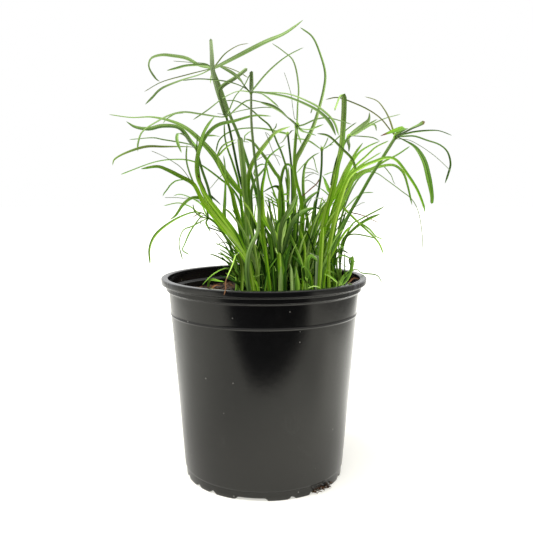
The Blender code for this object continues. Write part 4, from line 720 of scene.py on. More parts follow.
# Hairs and leaves too small to be solids: start and end depth, widths, look and course
STRANDS = {
    "strands_high": (
        (22, 12, (0.6, 0.6, 0.5), "green", ((-40, 325), (-45, 329), (-58, 330), (-71, 331))),
        (18, 14, (1.6, 1.4, 0.9), "pale", ((-40, 322), (-41.5, 318), (-41.7, 313.5))),
        (-18, -40, (1.2, 1.6, 1.8, 1.4), "green", (
            (-8, 307), (18, 306), (37, 299), (48, 292), (55.5, 284), (59.3, 273.5))),
        (-24, -34, (1.0, 1.0, 0.7), "green", (
            (-63, 291.9), (-69.7, 290.5), (-74, 288.2), (-77.3, 286), (-79.7, 283))),
        (0, -6, (0.5, 0.5), "grey", ((-29.4, 288), (-32, 290), (-37, 290.7))),
        (4, 8, (2.0, 1.6, 1.0), "green", ((-44, 273.8), (-39, 273.6), (-34.5, 272.8))),
        (-6, -12, (1.2, 0.8), "green", ((-53.4, 264), (-53, 267), (-52.7, 275))),
        (-25, -12, (0.5, 0.5, 0.4), "grey", (
            (24.4, 286), (22.6, 296.5), (21.5, 305.2), (18.3, 315.8), (15.8, 322.6))),
        (-8, -10, (1.0, 1.0), "green", ((9.3, 280), (9.8, 281.8), (10.2, 283.3))),
        (-30, -32, (1.2, 0.8), "green", ((37.8, 294.4), (37.5, 292.5), (36.9, 290.7))),
        (-12, -12, (1.0, 0.8), "dark", ((62, 303), (63, 304.8), (63.8, 306.3))),
    ),
    "strands_left": (
        (-3, 6, (1.5, 1.5, 1.0), "bright", (
            (-36, 257.5), (-34.7, 259.2), (-32.6, 261.7), (-29.7, 264.2), (-26.7, 266.3), (-21, 268.4))),
        (10, 12, (1.0, 0.9), "green", ((-15.8, 272.5), (-13.7, 274.6), (-11.6, 276.3), (-9, 277))),
        (8, 8, (1.0, 0.8), "green", ((-15.8, 268.8), (-13.6, 268.6), (-11.6, 268.1))),
        (-12, -16, (1.0, 1.0, 0.7), "brown", (
            (-45, 226.5), (-47.1, 231), (-49.2, 235.5), (-51.3, 240.4), (-53, 244))),
        (-18, -30, (0.6, 0.6, 0.5, 0.4), "grey", (
            (-57, 235.8), (-59.4, 239.8), (-64, 246.5), (-67.8, 250.2), (-72, 253), (-76.7, 255.9),
            (-84.3, 259.7), (-89.5, 261.8))),
        (-20, -30, (1.2, 1.2, 0.8), "green", (
            (-62, 239.4), (-67.5, 238.7), (-71.3, 237.5), (-75.1, 234.2), (-76.9, 231.6), (-78.9, 229.2),
            (-80.1, 227.5), (-81, 225.5))),
        (-6, -2, (0.6, 0.6, 0.5), "grey", (
            (-33.2, 242.3), (-36.2, 239.8), (-39.2, 236.4), (-41.7, 233.4), (-43.5, 231.7))),
        (6, 8, (2.5, 2.2, 1.4), "dark", ((-41.9, 226.2), (-38, 222.4), (-34.5, 219))),
    ),
    "strands_low_left": (
        (2, -16, (0.5, 0.5, 0.4), "grey", (
            (-52, 222), (-58.2, 224.7), (-63.5, 224.2), (-68.3, 224.8), (-73.1, 224.9), (-79.6, 224.8))),
        (4, 0, (1.0, 0.8), "green", ((-47, 222), (-50, 223.3), (-55.5, 223.8))),
        (-8, -12, (1.0, 0.9, 0.7), "brown", (
            (-48, 212.4), (-50.1, 212.6), (-53.1, 211.3), (-55.7, 210), (-57.5, 208.2))),
        (0, -4, (1.0, 1.0, 0.7), "dark", (
            (-44.4, 200.6), (-41.8, 199.8), (-38.3, 198.9), (-35.8, 197.6), (-33.2, 196.6),
            (-30.6, 193.8), (-29, 191.3))),
        (0, 0, (0.6, 0.5), "grey", ((-51, 203.6), (-50.6, 206.5), (-50, 209.6))),
        (-12, -8, (1.8, 1.8, 1.4, 1.0), "dark", (
            (-23.5, 173.5), (-24.4, 175.8), (-25.3, 179), (-26.6, 183.1), (-28, 186.8), (-29.4, 190.5))),
        (-6, -10, (0.8, 0.7, 0.5), "grey", (
            (-26.7, 189.2), (-30.4, 189.2), (-33.6, 188.7), (-36.3, 187.6), (-38.6, 185.8))),
        (-20, -26, (1.5, 1.4, 1.0), "green", (
            (-19.8, 160), (-21.6, 161.4), (-23.9, 162.8), (-26.7, 164.2))),
        (-24, -22, (4.0, 3.6, 2.0), "pale", (
            (-13, 154.5), (-14.8, 157.3), (-16.7, 160.1), (-18.5, 162.8))),
        (-14, -16, (2.0, 1.8, 1.0), "dark", ((-15.5, 168), (-17.5, 172.5), (-19.6, 177))),
        (-10, -14, (1.6, 1.4, 1.0), "dark", ((-16.5, 166), (-19, 170), (-21, 173.5))),
    ),
    "strands_centre": (
        (6, 4, (1.2, 1.0, 0.8), "bright", ((-3, 262.2), (1, 268.2), (6, 273.6), (12, 277.6))),
        (-16, -14, (0.5, 0.5, 0.4), "grey", (
            (0.9, 277), (2.6, 272.5), (4.7, 266.7), (7.2, 260.5), (10.1, 255.4), (13, 249.6))),
        (-14, -14, (0.5, 0.5, 0.4), "grey", ((-5.4, 253.8), (1.7, 258.4), (10.2, 258.2), (14.3, 255.9))),
        (-12, -14, (1.2, 1.2, 1.0), "green", (
            (-8, 243), (-6.6, 247.8), (-4.5, 249.9), (-2.3, 251), (0, 251.2), (2, 250))),
        (-10, -18, (1.1, 1.1, 0.7), "olive", (
            (10.5, 219.9), (8, 221.6), (5, 223.3), (2, 225), (0.3, 225.8))),
        (-10, -16, (0.9, 0.9, 0.6), "green", (
            (10.5, 221.6), (7.5, 224.1), (5, 225.8), (2.4, 227.5), (0.7, 228))),
        (-10, -20, (1.1, 1.1, 0.7), "olive", (
            (10, 218.2), (8, 219.4), (5.4, 221.1), (2, 222.4), (0.3, 223))),
        (-10, -14, (1.5, 1.3, 0.9), "green", ((10.5, 222.4), (8.8, 225.4), (7.1, 228.4), (5.4, 229.6))),
        (-16, -20, (1.1, 0.9), "olive", ((-1, 226.6), (-5.2, 226.7), (-10, 227))),
        (-18, -22, (1.1, 0.9, 0.7), "green", ((-1, 225.8), (-5.2, 225.4), (-7.7, 225), (-10, 223.6))),
        (-10, -14, (1.2, 1.0), "green", ((10.5, 205.4), (8, 207.5), (5.8, 209.7))),
        (-14, -8, (1.8, 1.8, 1.2), "pale", (
            (19.4, 222), (19.8, 229.2), (20.2, 237.8), (19.6, 244), (19.4, 249))),
        (-12, -12, (2.0, 1.8, 1.2), "green", ((18.9, 228), (18.6, 234.3), (17.8, 237.8), (17, 242))),
        (-24, -24, (2.5, 2.5, 2.2), "pale", ((14.1, 148.6), (13.9, 159.1), (13.7, 163.8), (14, 169.8))),
        (-22, -22, (2.0, 2.0, 1.8), "dark", ((17.2, 148.6), (17.2, 160), (17, 170))),
        (-20, -20, (3.0, 5.0, 7.0, 5.0), "dark", ((14.5, 168), (14.4, 178), (13.6, 190), (12.6, 200))),
        (-30, -28, (4.5, 4.6, 4.4, 3.6), "green", (
            (27.3, 148.6), (27, 154.5), (26.5, 159), (25.8, 163.8), (25.5, 169.3))),
        (-22, -30, (1.5, 1.4, 1.0), "green", (
            (28.9, 158.7), (31.2, 158.2), (33.9, 156.4), (36.2, 154.1), (38.5, 151.8))),
        (-22, -26, (1.5, 1.4, 1.0), "green", (
            (28.7, 205), (31.7, 205.8), (34.2, 209.2), (36.8, 211.8), (39.3, 213.9))),
        (-18, -22, (2.0, 1.8, 1.4), "dark", (
            (15.5, 205.8), (19, 205.8), (23.2, 205), (27.4, 205), (31.7, 205.4))),
        (10, 4, (1.0, 1.0, 0.8), "brown", (
            (44.4, 238.9), (41.9, 235.5), (38.5, 232.6), (35.1, 229.6), (31.7, 226.7), (27, 223.7))),
        (20, 22, (0.8, 0.8, 0.6), "grey", ((33.8, 248), (37.2, 247.6), (40.2, 246.5), (44.4, 243.6))),
        (20, 20, (0.8, 0.8, 0.6), "grey", ((33, 244), (35.9, 244.7), (38.9, 244.7), (44.4, 242.3))),
        (18, 20, (0.8, 0.7, 0.6), "grey", ((33, 240), (35.1, 241.9), (37.2, 243.2), (40.2, 244))),
        (16, 20, (0.8, 0.8, 0.6), "grey", (
            (33, 238.7), (35.5, 238.5), (38.1, 237.2), (40.6, 235.5), (44.4, 232.6))),
        (16, 8, (1.0, 1.0, 0.8), "green", ((35.9, 254.2), (31.7, 250.8), (28.8, 247.4), (25.8, 244))),
        (24, 14, (0.8, 0.8, 0.6), "green", ((39.8, 255.8), (41, 250.3), (41.9, 247), (43.2, 244))),
        (28, 34, (0.8, 0.7, 0.6), "green", ((47, 263), (50.5, 265.3), (55, 266.8))),
        (28, 26, (0.9, 0.7), "green", ((45.6, 262), (45.4, 264.2), (45.2, 266.3))),
    ),
    "strands_foot": (
        (-22, -14, (1.6, 1.7, 1.6, 1.2), "bright", (
            (-3.4, 148.8), (-5.5, 154), (-7.5, 158), (-9.5, 163), (-11.5, 168), (-12.6, 173))),
        (-20, -16, (1.2, 1.2, 1.0), "olive", ((-5.6, 148.8), (-7, 153.5), (-8.5, 158), (-10, 162))),
        (-18, -14, (3.4, 3.0, 2.4), "olive", ((5, 148.8), (3.8, 156), (2.8, 161), (2.4, 166))),
        (-14, -10, (1.2, 1.3, 1.0), "olive", ((-3.6, 150), (-4.2, 160), (-4.2, 170), (-5, 183))),
        (-8, -4, (2.4, 2.6, 2.0), "dark", ((-2, 149), (-2.5, 160), (-1.6, 172), (-3, 186))),
        (-6, -2, (3.0, 3.0, 2.0), "dark", ((-7, 149), (-6.5, 160), (-7.5, 172), (-8, 184))),
        (-10, -8, (2.6, 2.4, 1.6), "dark", ((-10.5, 149), (-11, 158), (-14, 166), (-17, 172))),
        (-24, -24, (0.5, 0.5, 0.4), "pale", ((-6.5, 161), (-3, 162.6), (0, 163))),
        (-24, -24, (0.6, 0.6, 0.4), "pale", ((-1.5, 152), (-1.2, 157), (0.2, 161))),
        (-26, -26, (0.5, 0.6, 0.5), "pale", (
            (3.5, 168), (6, 170.5), (8, 170.3), (9.3, 167), (9.8, 165.3))),
        (-26, -26, (1.0, 1.0, 0.7), "pale", ((9, 185), (10, 182), (11.5, 179))),
        (-24, -24, (2.6, 2.5, 2.2), "olive", ((16.8, 149), (16.6, 160), (16.2, 170))),
        (-18, -18, (2.0, 2.0, 1.4), "green", (
            (13.3, 189.5), (14.5, 194), (16, 199), (17, 203), (18, 208))),
        (-16, -16, (0.8, 0.8, 0.6), "grey", ((19.2, 180), (18.9, 188), (19, 196))),
        (-20, -22, (0.7, 0.7, 0.5), "green", ((21.5, 181), (20, 175), (19.5, 171))),
        (-24, -24, (2.2, 2.4, 1.6), "olive", ((38.4, 149), (38.6, 154), (38, 160), (36.6, 165))),
        (-20, -18, (1.3, 1.3, 0.9), "green", ((34.4, 160), (34, 170), (34.4, 179))),
        (-16, -15, (1.0, 1.4, 1.4, 1.0), "pale", ((48.5, 176), (50.5, 182), (52.5, 188), (54.5, 193))),
        (-17, -16, (0.9, 1.0, 0.8), "dark", ((46.5, 170), (47.6, 178), (47.9, 186))),
        (-15, -12, (1.0, 1.2, 1.0), "dark", ((50.6, 170), (52.6, 177), (55, 183))),
        (-14, -10, (1.4, 1.6, 1.2), "bright", ((52, 178), (55, 184), (58, 190), (61, 196))),
        (-22, -22, (1.0, 1.4, 1.0), "pale", ((-17, 180), (-21, 186), (-26, 192), (-30, 197))),
        (-17, -17, (0.8, 0.9, 0.8), "dark", ((-15.4, 180), (-19.5, 190), (-25, 201))),
        (-26, -22, (1.8, 2.4, 2.6, 2.0), "olive", ((5.8, 149), (2.9, 168), (1, 182), (-2, 197))),
        (-25, -18, (2.0, 2.6, 3.2, 4.2, 4.6, 3.0), "bright", (
            (14.6, 149), (12.6, 172), (10.8, 190.8), (4.8, 200.6), (1, 206.7), (-1.2, 212), (-0.5, 227))),
        (-24, -23, (1.6, 4.2, 5.0, 3.4), "deep", ((15.0, 149), (14.4, 171), (11.6, 181), (6.8, 191))),
        (-25, -22, (1.6, 4.2, 5.2, 3.6), "deep", ((16.0, 149), (16.2, 171), (18.6, 180), (22.4, 189.5))),
        (-28, -28, (2.6, 2.6, 2.4), "mint", ((13.8, 149), (13.8, 160), (13.8, 170))),
        (-28, -28, (1.7, 1.9, 1.8), "mint", ((22.8, 149), (22.2, 160), (21.6, 171))),
        (-29, -28, (4.4, 4.5, 4.2), "mint", ((26.7, 149), (26.5, 160), (26.3, 169))),
        (-22, -16, (2.0, 2.4, 3.0, 3.0, 2.2), "green", (
            (13.4, 149), (11.2, 180), (10.8, 202), (16.8, 208), (24.3, 217), (27.3, 227))),
        (-20, -12, (2.0, 3.4, 4.6, 4.6, 3.0), "deep", (
            (9.0, 149), (9.4, 180), (10.8, 199), (21.3, 207), (34.8, 215), (43.8, 217))),
        (-23, -20, (1.4, 2.2, 3.4, 3.2), "pale", (
            (12.4, 149), (12.8, 175), (13.8, 190), (16, 197), (18.3, 207))),
        (-23, -21, (2.0, 3.4, 4.0, 3.0), "grey", ((42.5, 149), (43.5, 174), (40, 178.5), (36.5, 180.5))),
        (-21, -22, (2.0, 3.2, 2.6), "deep", ((42.2, 149), (42.0, 176), (42.6, 187))),
        (-27, -27, (2.0, 2.2, 1.8), "olive", (
            (39.4, 149), (38, 160), (36.5, 164.5), (34.5, 168), (31, 168.7))),
        (-26, -20, (2.6, 3.2, 3.0, 2.4), "bright", ((44.2, 149), (46.0, 174), (46.8, 190), (47.6, 202))),
        (-25, -16, (2.0, 2.2, 2.0, 1.6), "olive", (
            (47, 149), (50.5, 168), (58, 185), (66, 198), (72, 203))),
        (-26, -24, (2.4, 2.6, 2.2), "green", ((-11, 149), (-14, 156), (-16, 160), (-18, 164))),
        (-22, -20, (1.6, 2.6, 3.0), "deep", ((8.2, 149), (6.4, 178), (5, 192), (2.5, 198), (0, 203))),
        (-27, -25, (1.6, 1.7, 1.4), "mint", ((23.4, 149), (23, 162), (21, 172))),
        (-25, -22, (1.6, 2.6, 2.4, 1.8), "bright", ((-7.5, 149), (-12, 166), (-17.5, 178), (-24, 186))),
        (-24, -20, (1.4, 2.0, 1.8), "bright", ((30.5, 149), (32.5, 166), (33, 184), (29, 200))),
        (-24, -18, (1.4, 2.2, 2.0), "green", ((34.0, 149), (31, 170), (24, 188), (19, 199))),
        (-25, -20, (1.4, 2.0, 2.0), "deep", ((-1.0, 149), (3, 165), (9.5, 176), (15, 183))),
        (-24, -22, (1.2, 2.0, 2.2), "deep", ((36.5, 149), (34, 162), (28.5, 172), (22.5, 179))),
    ),
    "strands_right": (
        (-10, -12, (2.0, 1.8, 1.2), "dark", ((42.9, 216.2), (45.4, 218.7), (48, 221.3), (49.7, 223))),
        (-12, -10, (1.5, 1.5, 1.0), "dark", ((53.4, 234), (54.6, 240.3), (56.3, 249.2), (58.5, 258.5))),
        (0, 4, (3.0, 2.8, 2.2, 1.6), "green", (
            (52, 230), (50.8, 233.2), (49.5, 236.1), (48.3, 239.5), (46.2, 242.5))),
        (2, 4, (1.5, 1.4, 1.0), "green", ((55, 245), (52.9, 244.6), (49.9, 243.3), (47.4, 242.4))),
        (2, 0, (1.2, 1.0, 0.8), "green", ((50.8, 227.3), (49.9, 228.5), (47.8, 230.2), (44.4, 232.6))),
        (-2, -4, (1.0, 0.8), "grey", ((46.7, 223.8), (43.3, 224.3), (39.5, 224.7))),
        (18, 30, (0.9, 0.9, 0.7), "green", (
            (92, 251.2), (95.1, 249.6), (97.5, 247.3), (99.4, 244.9), (101.4, 242.5), (102.4, 240.1),
            (103.4, 237.3), (105.1, 235.2))),
        (-9, -26, (0.5, 0.5, 0.4), "grey", (
            (104, 270.9), (110.2, 270.8), (115.6, 269.9), (125, 265), (135.5, 257.9), (144.2, 250.3),
            (149, 245.6))),
        (-10, -22, (1.5, 1.4, 1.0), "green", (
            (77, 204.4), (80.2, 202.8), (82.9, 201), (85.7, 198.7), (88, 196), (90.2, 193.5),
            (92.5, 192.6), (94.8, 191.6), (96.4, 191))),
        (0, 14, (1.0, 1.0, 0.8), "brown", (
            (67, 212.6), (69.9, 212.8), (72.9, 212.1), (76.4, 211.5), (79.4, 210.4), (82, 209.8),
            (84.1, 208.5), (86.7, 207.2), (89.3, 206), (92.3, 204.5))),
        (0, 6, (0.5, 0.5, 0.4), "grey", (
            (70, 215.6), (74.1, 217.9), (76.3, 219.2), (78.4, 220.5), (81, 221.1))),
        (-14, -4, (2.0, 2.0, 1.6, 1.2, 0.8), "grey", (
            (57, 212), (60.7, 220.5), (61.5, 222.2), (62.8, 224.7), (64, 227.3), (65.7, 230.2),
            (69.9, 234.8))),
        (-10, -8, (1.5, 1.5, 1.2), "dark", (
            (61, 213.6), (62.5, 216.2), (63.7, 219.2), (64.6, 221.3), (64.5, 224))),
        (-6, -8, (1.0, 0.8), "grey", ((62, 207), (64, 206.7), (67.5, 205.7), (70.9, 205.4))),
        (-8, -14, (1.5, 1.3, 0.9), "dark", (
            (57, 183.4), (59, 183.1), (61.7, 182.4), (64.9, 181.8), (66.8, 180.8), (69.1, 179))),
        (-26, -26, (0.9, 0.9, 0.7), "green", ((65.2, 160), (65.3, 169.8), (65.2, 177.2), (65, 180.8))),
        (-24, -26, (1.0, 0.8), "green", ((60, 188.6), (62.1, 186.8), (64, 184), (65.3, 181.7))),
        (-28, -30, (1.2, 1.1, 0.8), "grey", ((61.6, 179.9), (61.9, 177.1), (61.5, 174.4), (59.7, 171.6))),
        (-28, -30, (1.2, 1.1, 0.8), "dark", ((54.2, 172.9), (55.8, 170.6), (57, 167.8), (58, 165.5))),
        (-30, -34, (0.5, 0.5), "grey", ((62, 172.5), (63.9, 170.3), (66.2, 169.6), (68.5, 167))),
        (-12, -10, (1.8, 1.8, 1.2), "dark", ((58, 200), (57.4, 208), (60, 214))),
        (-8, -12, (1.6, 1.5, 1.0), "dark", ((61, 200), (64, 208), (66, 215))),
        (-14, -18, (3.0, 4.0, 3.4, 2.4), "dark", ((49, 149), (49.6, 156), (51, 162), (52.4, 168))),
        (-16, -20, (3.0, 3.6, 2.6), "dark", ((53.4, 149), (53, 156), (51.6, 164))),
        (8, 2, (2.4, 2.6, 2.0), "dark", ((55, 165), (56, 180), (57, 195))),
    ),
}

# A blade's section for a half width of 1: across, then towards its back
BLADE_SECTION = (
    (-1.0, 0.05), (-0.55, -0.26), (0.0, -0.5), (0.55, -0.26),
    (1.0, 0.05), (0.55, -0.56), (0.0, -0.98), (-0.55, -0.56),
)

# The points of a stem's section, and how far its corners stand out, as a share of its radius
STEM_SIDES = 12
STEM_CORNER = 0.13


def rounded_triangle():
    """The section of a sedge stem, three rounded corners with one at the back."""
    spots = []
    for side in range(STEM_SIDES):
        angle = math.tau * side / STEM_SIDES
        reach = 1 - STEM_CORNER + STEM_CORNER * math.cos(3 * (angle - math.radians(30)))
        spots.append((reach * math.cos(angle), reach * math.sin(angle)))
    return tuple(spots)


STEM_SECTION = rounded_triangle()


# Settings that a user would change

def count_setting(name, description, default, least=0):
    """A number of like things that a user can change."""
    return bpy.props.IntProperty(name=name, description=description, default=default, min=least)


def colour_setting(name, description, default):
    """A colour that a user can change."""
    return bpy.props.FloatVectorProperty(
        name=name, description=description, subtype="COLOR", min=0, max=1, default=default)


class PapyrusSettings(bpy.types.PropertyGroup):
    """Sizes and colours of the plant's looks."""

    ring_step: bpy.props.FloatProperty(
        name="Ring step", description="Distance between the rings of a leaf or stem",
        default=0.0025, min=0.001, unit="LENGTH")
    leaf_twist: bpy.props.FloatProperty(
        name="Leaf twist", description="How far a leaf turns to and fro along its length",
        default=math.radians(16), subtype="ANGLE")
    crumbs: count_setting("Crumbs", "How many loose crumbs lie on the soil", 1500)
    fibres: count_setting("Fibres", "How many root fibres lie on the soil", 70)
    roots: count_setting("Roots", "How many dry roots come out of a drain notch", 38)
    undergrowth: count_setting("Undergrowth", "How many short leaves fill the clump's foot", 300)
    slim_leaves: count_setting("Slim leaves", "How many slim leaves rise through the clump", 120)
    pot_sides: count_setting("Pot sides", "How many sides the turned pot has", 240, 24)
    leaf_dark: colour_setting("Darkest leaf", "Leaves deep in the clump", (0.006, 0.022, 0.003))
    leaf_deep: colour_setting("Deep leaf", "Shaded leaves", (0.026, 0.092, 0.005))
    leaf_middle: colour_setting("Middle leaf", "Most leaves", (0.100, 0.270, 0.012))
    leaf_bright: colour_setting("Bright leaf", "The yellow-green straps", (0.225, 0.455, 0.013))
    leaf_pale: colour_setting("Pale leaf", "The palest leaf bases", (0.380, 0.590, 0.075))
    cool_middle: colour_setting("Blue-green leaf", "The bluish bracts", (0.165, 0.216, 0.090))
    cool_pale: colour_setting("Pale blue-green leaf", "The pale mint leaves", (0.450, 0.560, 0.330))
    dry_brown: colour_setting("Dry leaf", "Dry tips and dead strands", (0.210, 0.100, 0.045))
    dry_dark: colour_setting("Dark dry leaf", "Darker patches of dry leaf and root", (0.060, 0.030, 0.016))
    pot_black: colour_setting("Pot plastic", "The pot's black plastic", (0.0035, 0.0036, 0.0040))
    pot_dust: colour_setting("Dust", "Dust and scuffs on the pot", (0.300, 0.290, 0.270))
    soil_dark: colour_setting("Dark soil", "Moist peat", (0.014, 0.009, 0.006))
    soil_light: colour_setting("Light soil", "Dry bark crumbs", (0.120, 0.070, 0.038))


# Materials

class Finish:
    """A material whose nodes are added one after another and feed one Principled BSDF."""

    def __init__(self, name):
        self.material = bpy.data.materials.new(name)
        self.material.use_nodes = True
        self.tree = self.material.node_tree
        self.shader = self.tree.nodes["Principled BSDF"]

    def add(self, kind, inputs=None, **settings):
        """Adds a node, with its settings and what its inputs take."""
        node = self.tree.nodes.new(kind)
        for name, value in settings.items():
            setattr(node, name, value)
        for key, value in (inputs or {}).items():
            self.feed(node.inputs[key], value)
        return node

    def feed(self, socket, value):
        """Links a socket to another node's output, or sets its own value."""
        if isinstance(value, bpy.types.NodeSocket):
            self.tree.links.new(value, socket)
        else:
            socket.default_value = value

    def place(self):
        return self.add("ShaderNodeTexCoord").outputs["Object"]

    def attribute(self, name):
        return self.add("ShaderNodeAttribute", attribute_name=name).outputs["Vector"]

    def parts(self, vector):
        return tuple(self.add("ShaderNodeSeparateXYZ", {"Vector": vector}).outputs)

    def joined(self, x, y, z):
        return self.add("ShaderNodeCombineXYZ", {"X": x, "Y": y, "Z": z}).outputs["Vector"]

    def sum(self, operation, first, second=0.0, third=0.0):
        inputs = {0: first, 1: second, 2: third}
        return self.add("ShaderNodeMath", inputs, operation=operation).outputs[0]

    def minus(self, first, second):
        return self.sum("SUBTRACT", first, second)

    def times(self, first, second):
        return self.sum("MULTIPLY", first, second)

    def times_plus(self, first, second, third):
        return self.sum("MULTIPLY_ADD", first, second, third)

    def size(self, value):
        return self.sum("ABSOLUTE", value)

    def distance(self, x, y):
        return self.sum("SQRT", self.times_plus(x, x, self.times(y, y)))

    def noise(self, vector, scale, detail=2.0, roughness=0.5):
        inputs = {"Vector": vector, "Scale": scale, "Detail": detail, "Roughness": roughness}
        return self.add("ShaderNodeTexNoise", inputs).outputs["Fac"]

    def cells(self, vector, scale, wanted="Distance"):
        return self.add("ShaderNodeTexVoronoi", {"Vector": vector, "Scale": scale}).outputs[wanted]

    def between(self, value, low, high):
        """0 below low and 1 above high, with a smooth rise between."""
        inputs = {"Value": value, "From Min": low, "From Max": high}
        return self.add("ShaderNodeMapRange", inputs, interpolation_type="SMOOTHSTEP").outputs[0]

    def ramp(self, factor, *stops):
        """A colour that runs through stops, each a place and a colour."""
        node = self.add("ShaderNodeValToRGB", {"Fac": factor})
        marks = node.color_ramp.elements
        while len(marks) < len(stops):
            marks.new(1.0)
        for mark, (spot, colour) in zip(marks, stops):
            mark.position = spot
            mark.color = (*colour, 1.0)
        return node.outputs["Color"]

    def mix(self, factor, first, second):
        node = self.add("ShaderNodeMix", data_type="RGBA")
        self.feed(node.inputs[0], factor)
        for socket, value in ((node.inputs[6], first), (node.inputs[7], second)):
            self.feed(socket, value if isinstance(value, bpy.types.NodeSocket) else (*value, 1.0))
        return node.outputs[2]

    def bump(self, height, strength, distance):
        inputs = {"Height": height, "Strength": strength, "Distance": distance}
        normal = self.add("ShaderNodeBump", inputs).outputs["Normal"]
        self.feed(self.shader.inputs["Normal"], normal)

    def finish(self, colour, roughness):
        self.feed(self.shader.inputs["Base Color"], colour)
        self.feed(self.shader.inputs["Roughness"], roughness)
        return self.material


def foliage(name, settings, roughness, lift):
    """A living blade: toned by its look, streaked lengthwise, with painted shade on one half and in its
    midrib, painted gleams and dry tips.
    """
    leaf = Finish(name)
    across, along, fold = leaf.parts(leaf.attribute("leaf"))
    tone, cool, dry = leaf.parts(leaf.attribute("look"))
    place = leaf.place()
    streak_place = leaf.joined(leaf.times(across, 2.2), leaf.times(along, 14.0), leaf.times(fold, 90.0))
    streaks = leaf.noise(streak_place, 1.2)
    patches = leaf.noise(place, 55.0)
    # Painted shade: one half of a folded blade is darker than the other
    half = leaf.minus(leaf.between(across, -0.3, 0.3), 0.5)
    shade = leaf.times_plus(leaf.minus(streaks, 0.5), STREAK_SHARE, leaf.sum("ADD", tone, lift))
    shade = leaf.times_plus(leaf.minus(patches, 0.5), PATCH_SHARE, shade)
    shade = leaf.times_plus(half, fold, shade)
    warm = leaf.ramp(
        shade, (0.0, settings.leaf_dark), (0.22, settings.leaf_deep), (0.44, settings.leaf_middle),
        (0.78, settings.leaf_bright), (1.0, settings.leaf_pale))
    blue = leaf.ramp(
        shade, (0.0, settings.leaf_deep), (0.46, settings.cool_middle), (1.0, settings.cool_pale))
    colour = leaf.mix(cool, warm, blue)
    # Painted shade in the midrib's groove
    rib = leaf.between(leaf.size(across), 0.22, 0.05)
    colour = leaf.mix(leaf.times(rib, RIB_SHADE_COVER), colour, settings.leaf_dark)
    # Painted highlights: pale gleams along the flanks of the blade's fold
    beside = leaf.size(leaf.minus(leaf.size(across), 0.55))
    gleam_place = leaf.joined(leaf.times(fold, 70.0), leaf.times(along, 30.0), across)
    gleam = leaf.between(leaf.noise(gleam_place, 1.3), 0.50, 0.66)
    gleam = leaf.times(gleam, leaf.between(beside, 0.24, 0.06))
    gleam = leaf.times(gleam, leaf.between(tone, 0.05, 0.50))
    pale = leaf.mix(cool, settings.leaf_pale, settings.cool_pale)
    colour = leaf.mix(leaf.times(gleam, PAINTED_GLEAM_COVER), colour, pale)
    specks = leaf.between(leaf.noise(place, 420.0, detail=1.0), 0.72, 0.78)
    colour = leaf.mix(leaf.times(specks, DRY_SPECK_COVER), colour, settings.dry_brown)
    dry_shade = leaf.mix(leaf.between(patches, 0.35, 0.65), settings.dry_brown, settings.dry_dark)
    colour = leaf.mix(dry, colour, dry_shade)
    veins_place = leaf.joined(leaf.times(across, 5.0), leaf.times(along, 8.0), tone)
    leaf.bump(leaf.noise(veins_place, 1.5, detail=1.0), 0.12, 0.0004)
    rough = leaf.times_plus(patches, ROUGH_PLAY, roughness - ROUGH_PLAY / 2)
    leaf.shader.inputs["Specular IOR Level"].default_value = LEAF_GLOSS
    return leaf.finish(colour, rough)


def leaf_finish(settings):
    """The one material of all that is made of leaf or root, made when it is first asked for."""
    name = "living_leaf"
    return bpy.data.materials.get(name) or foliage(name, settings, LEAF_ROUGH, LEAF_LIFT)


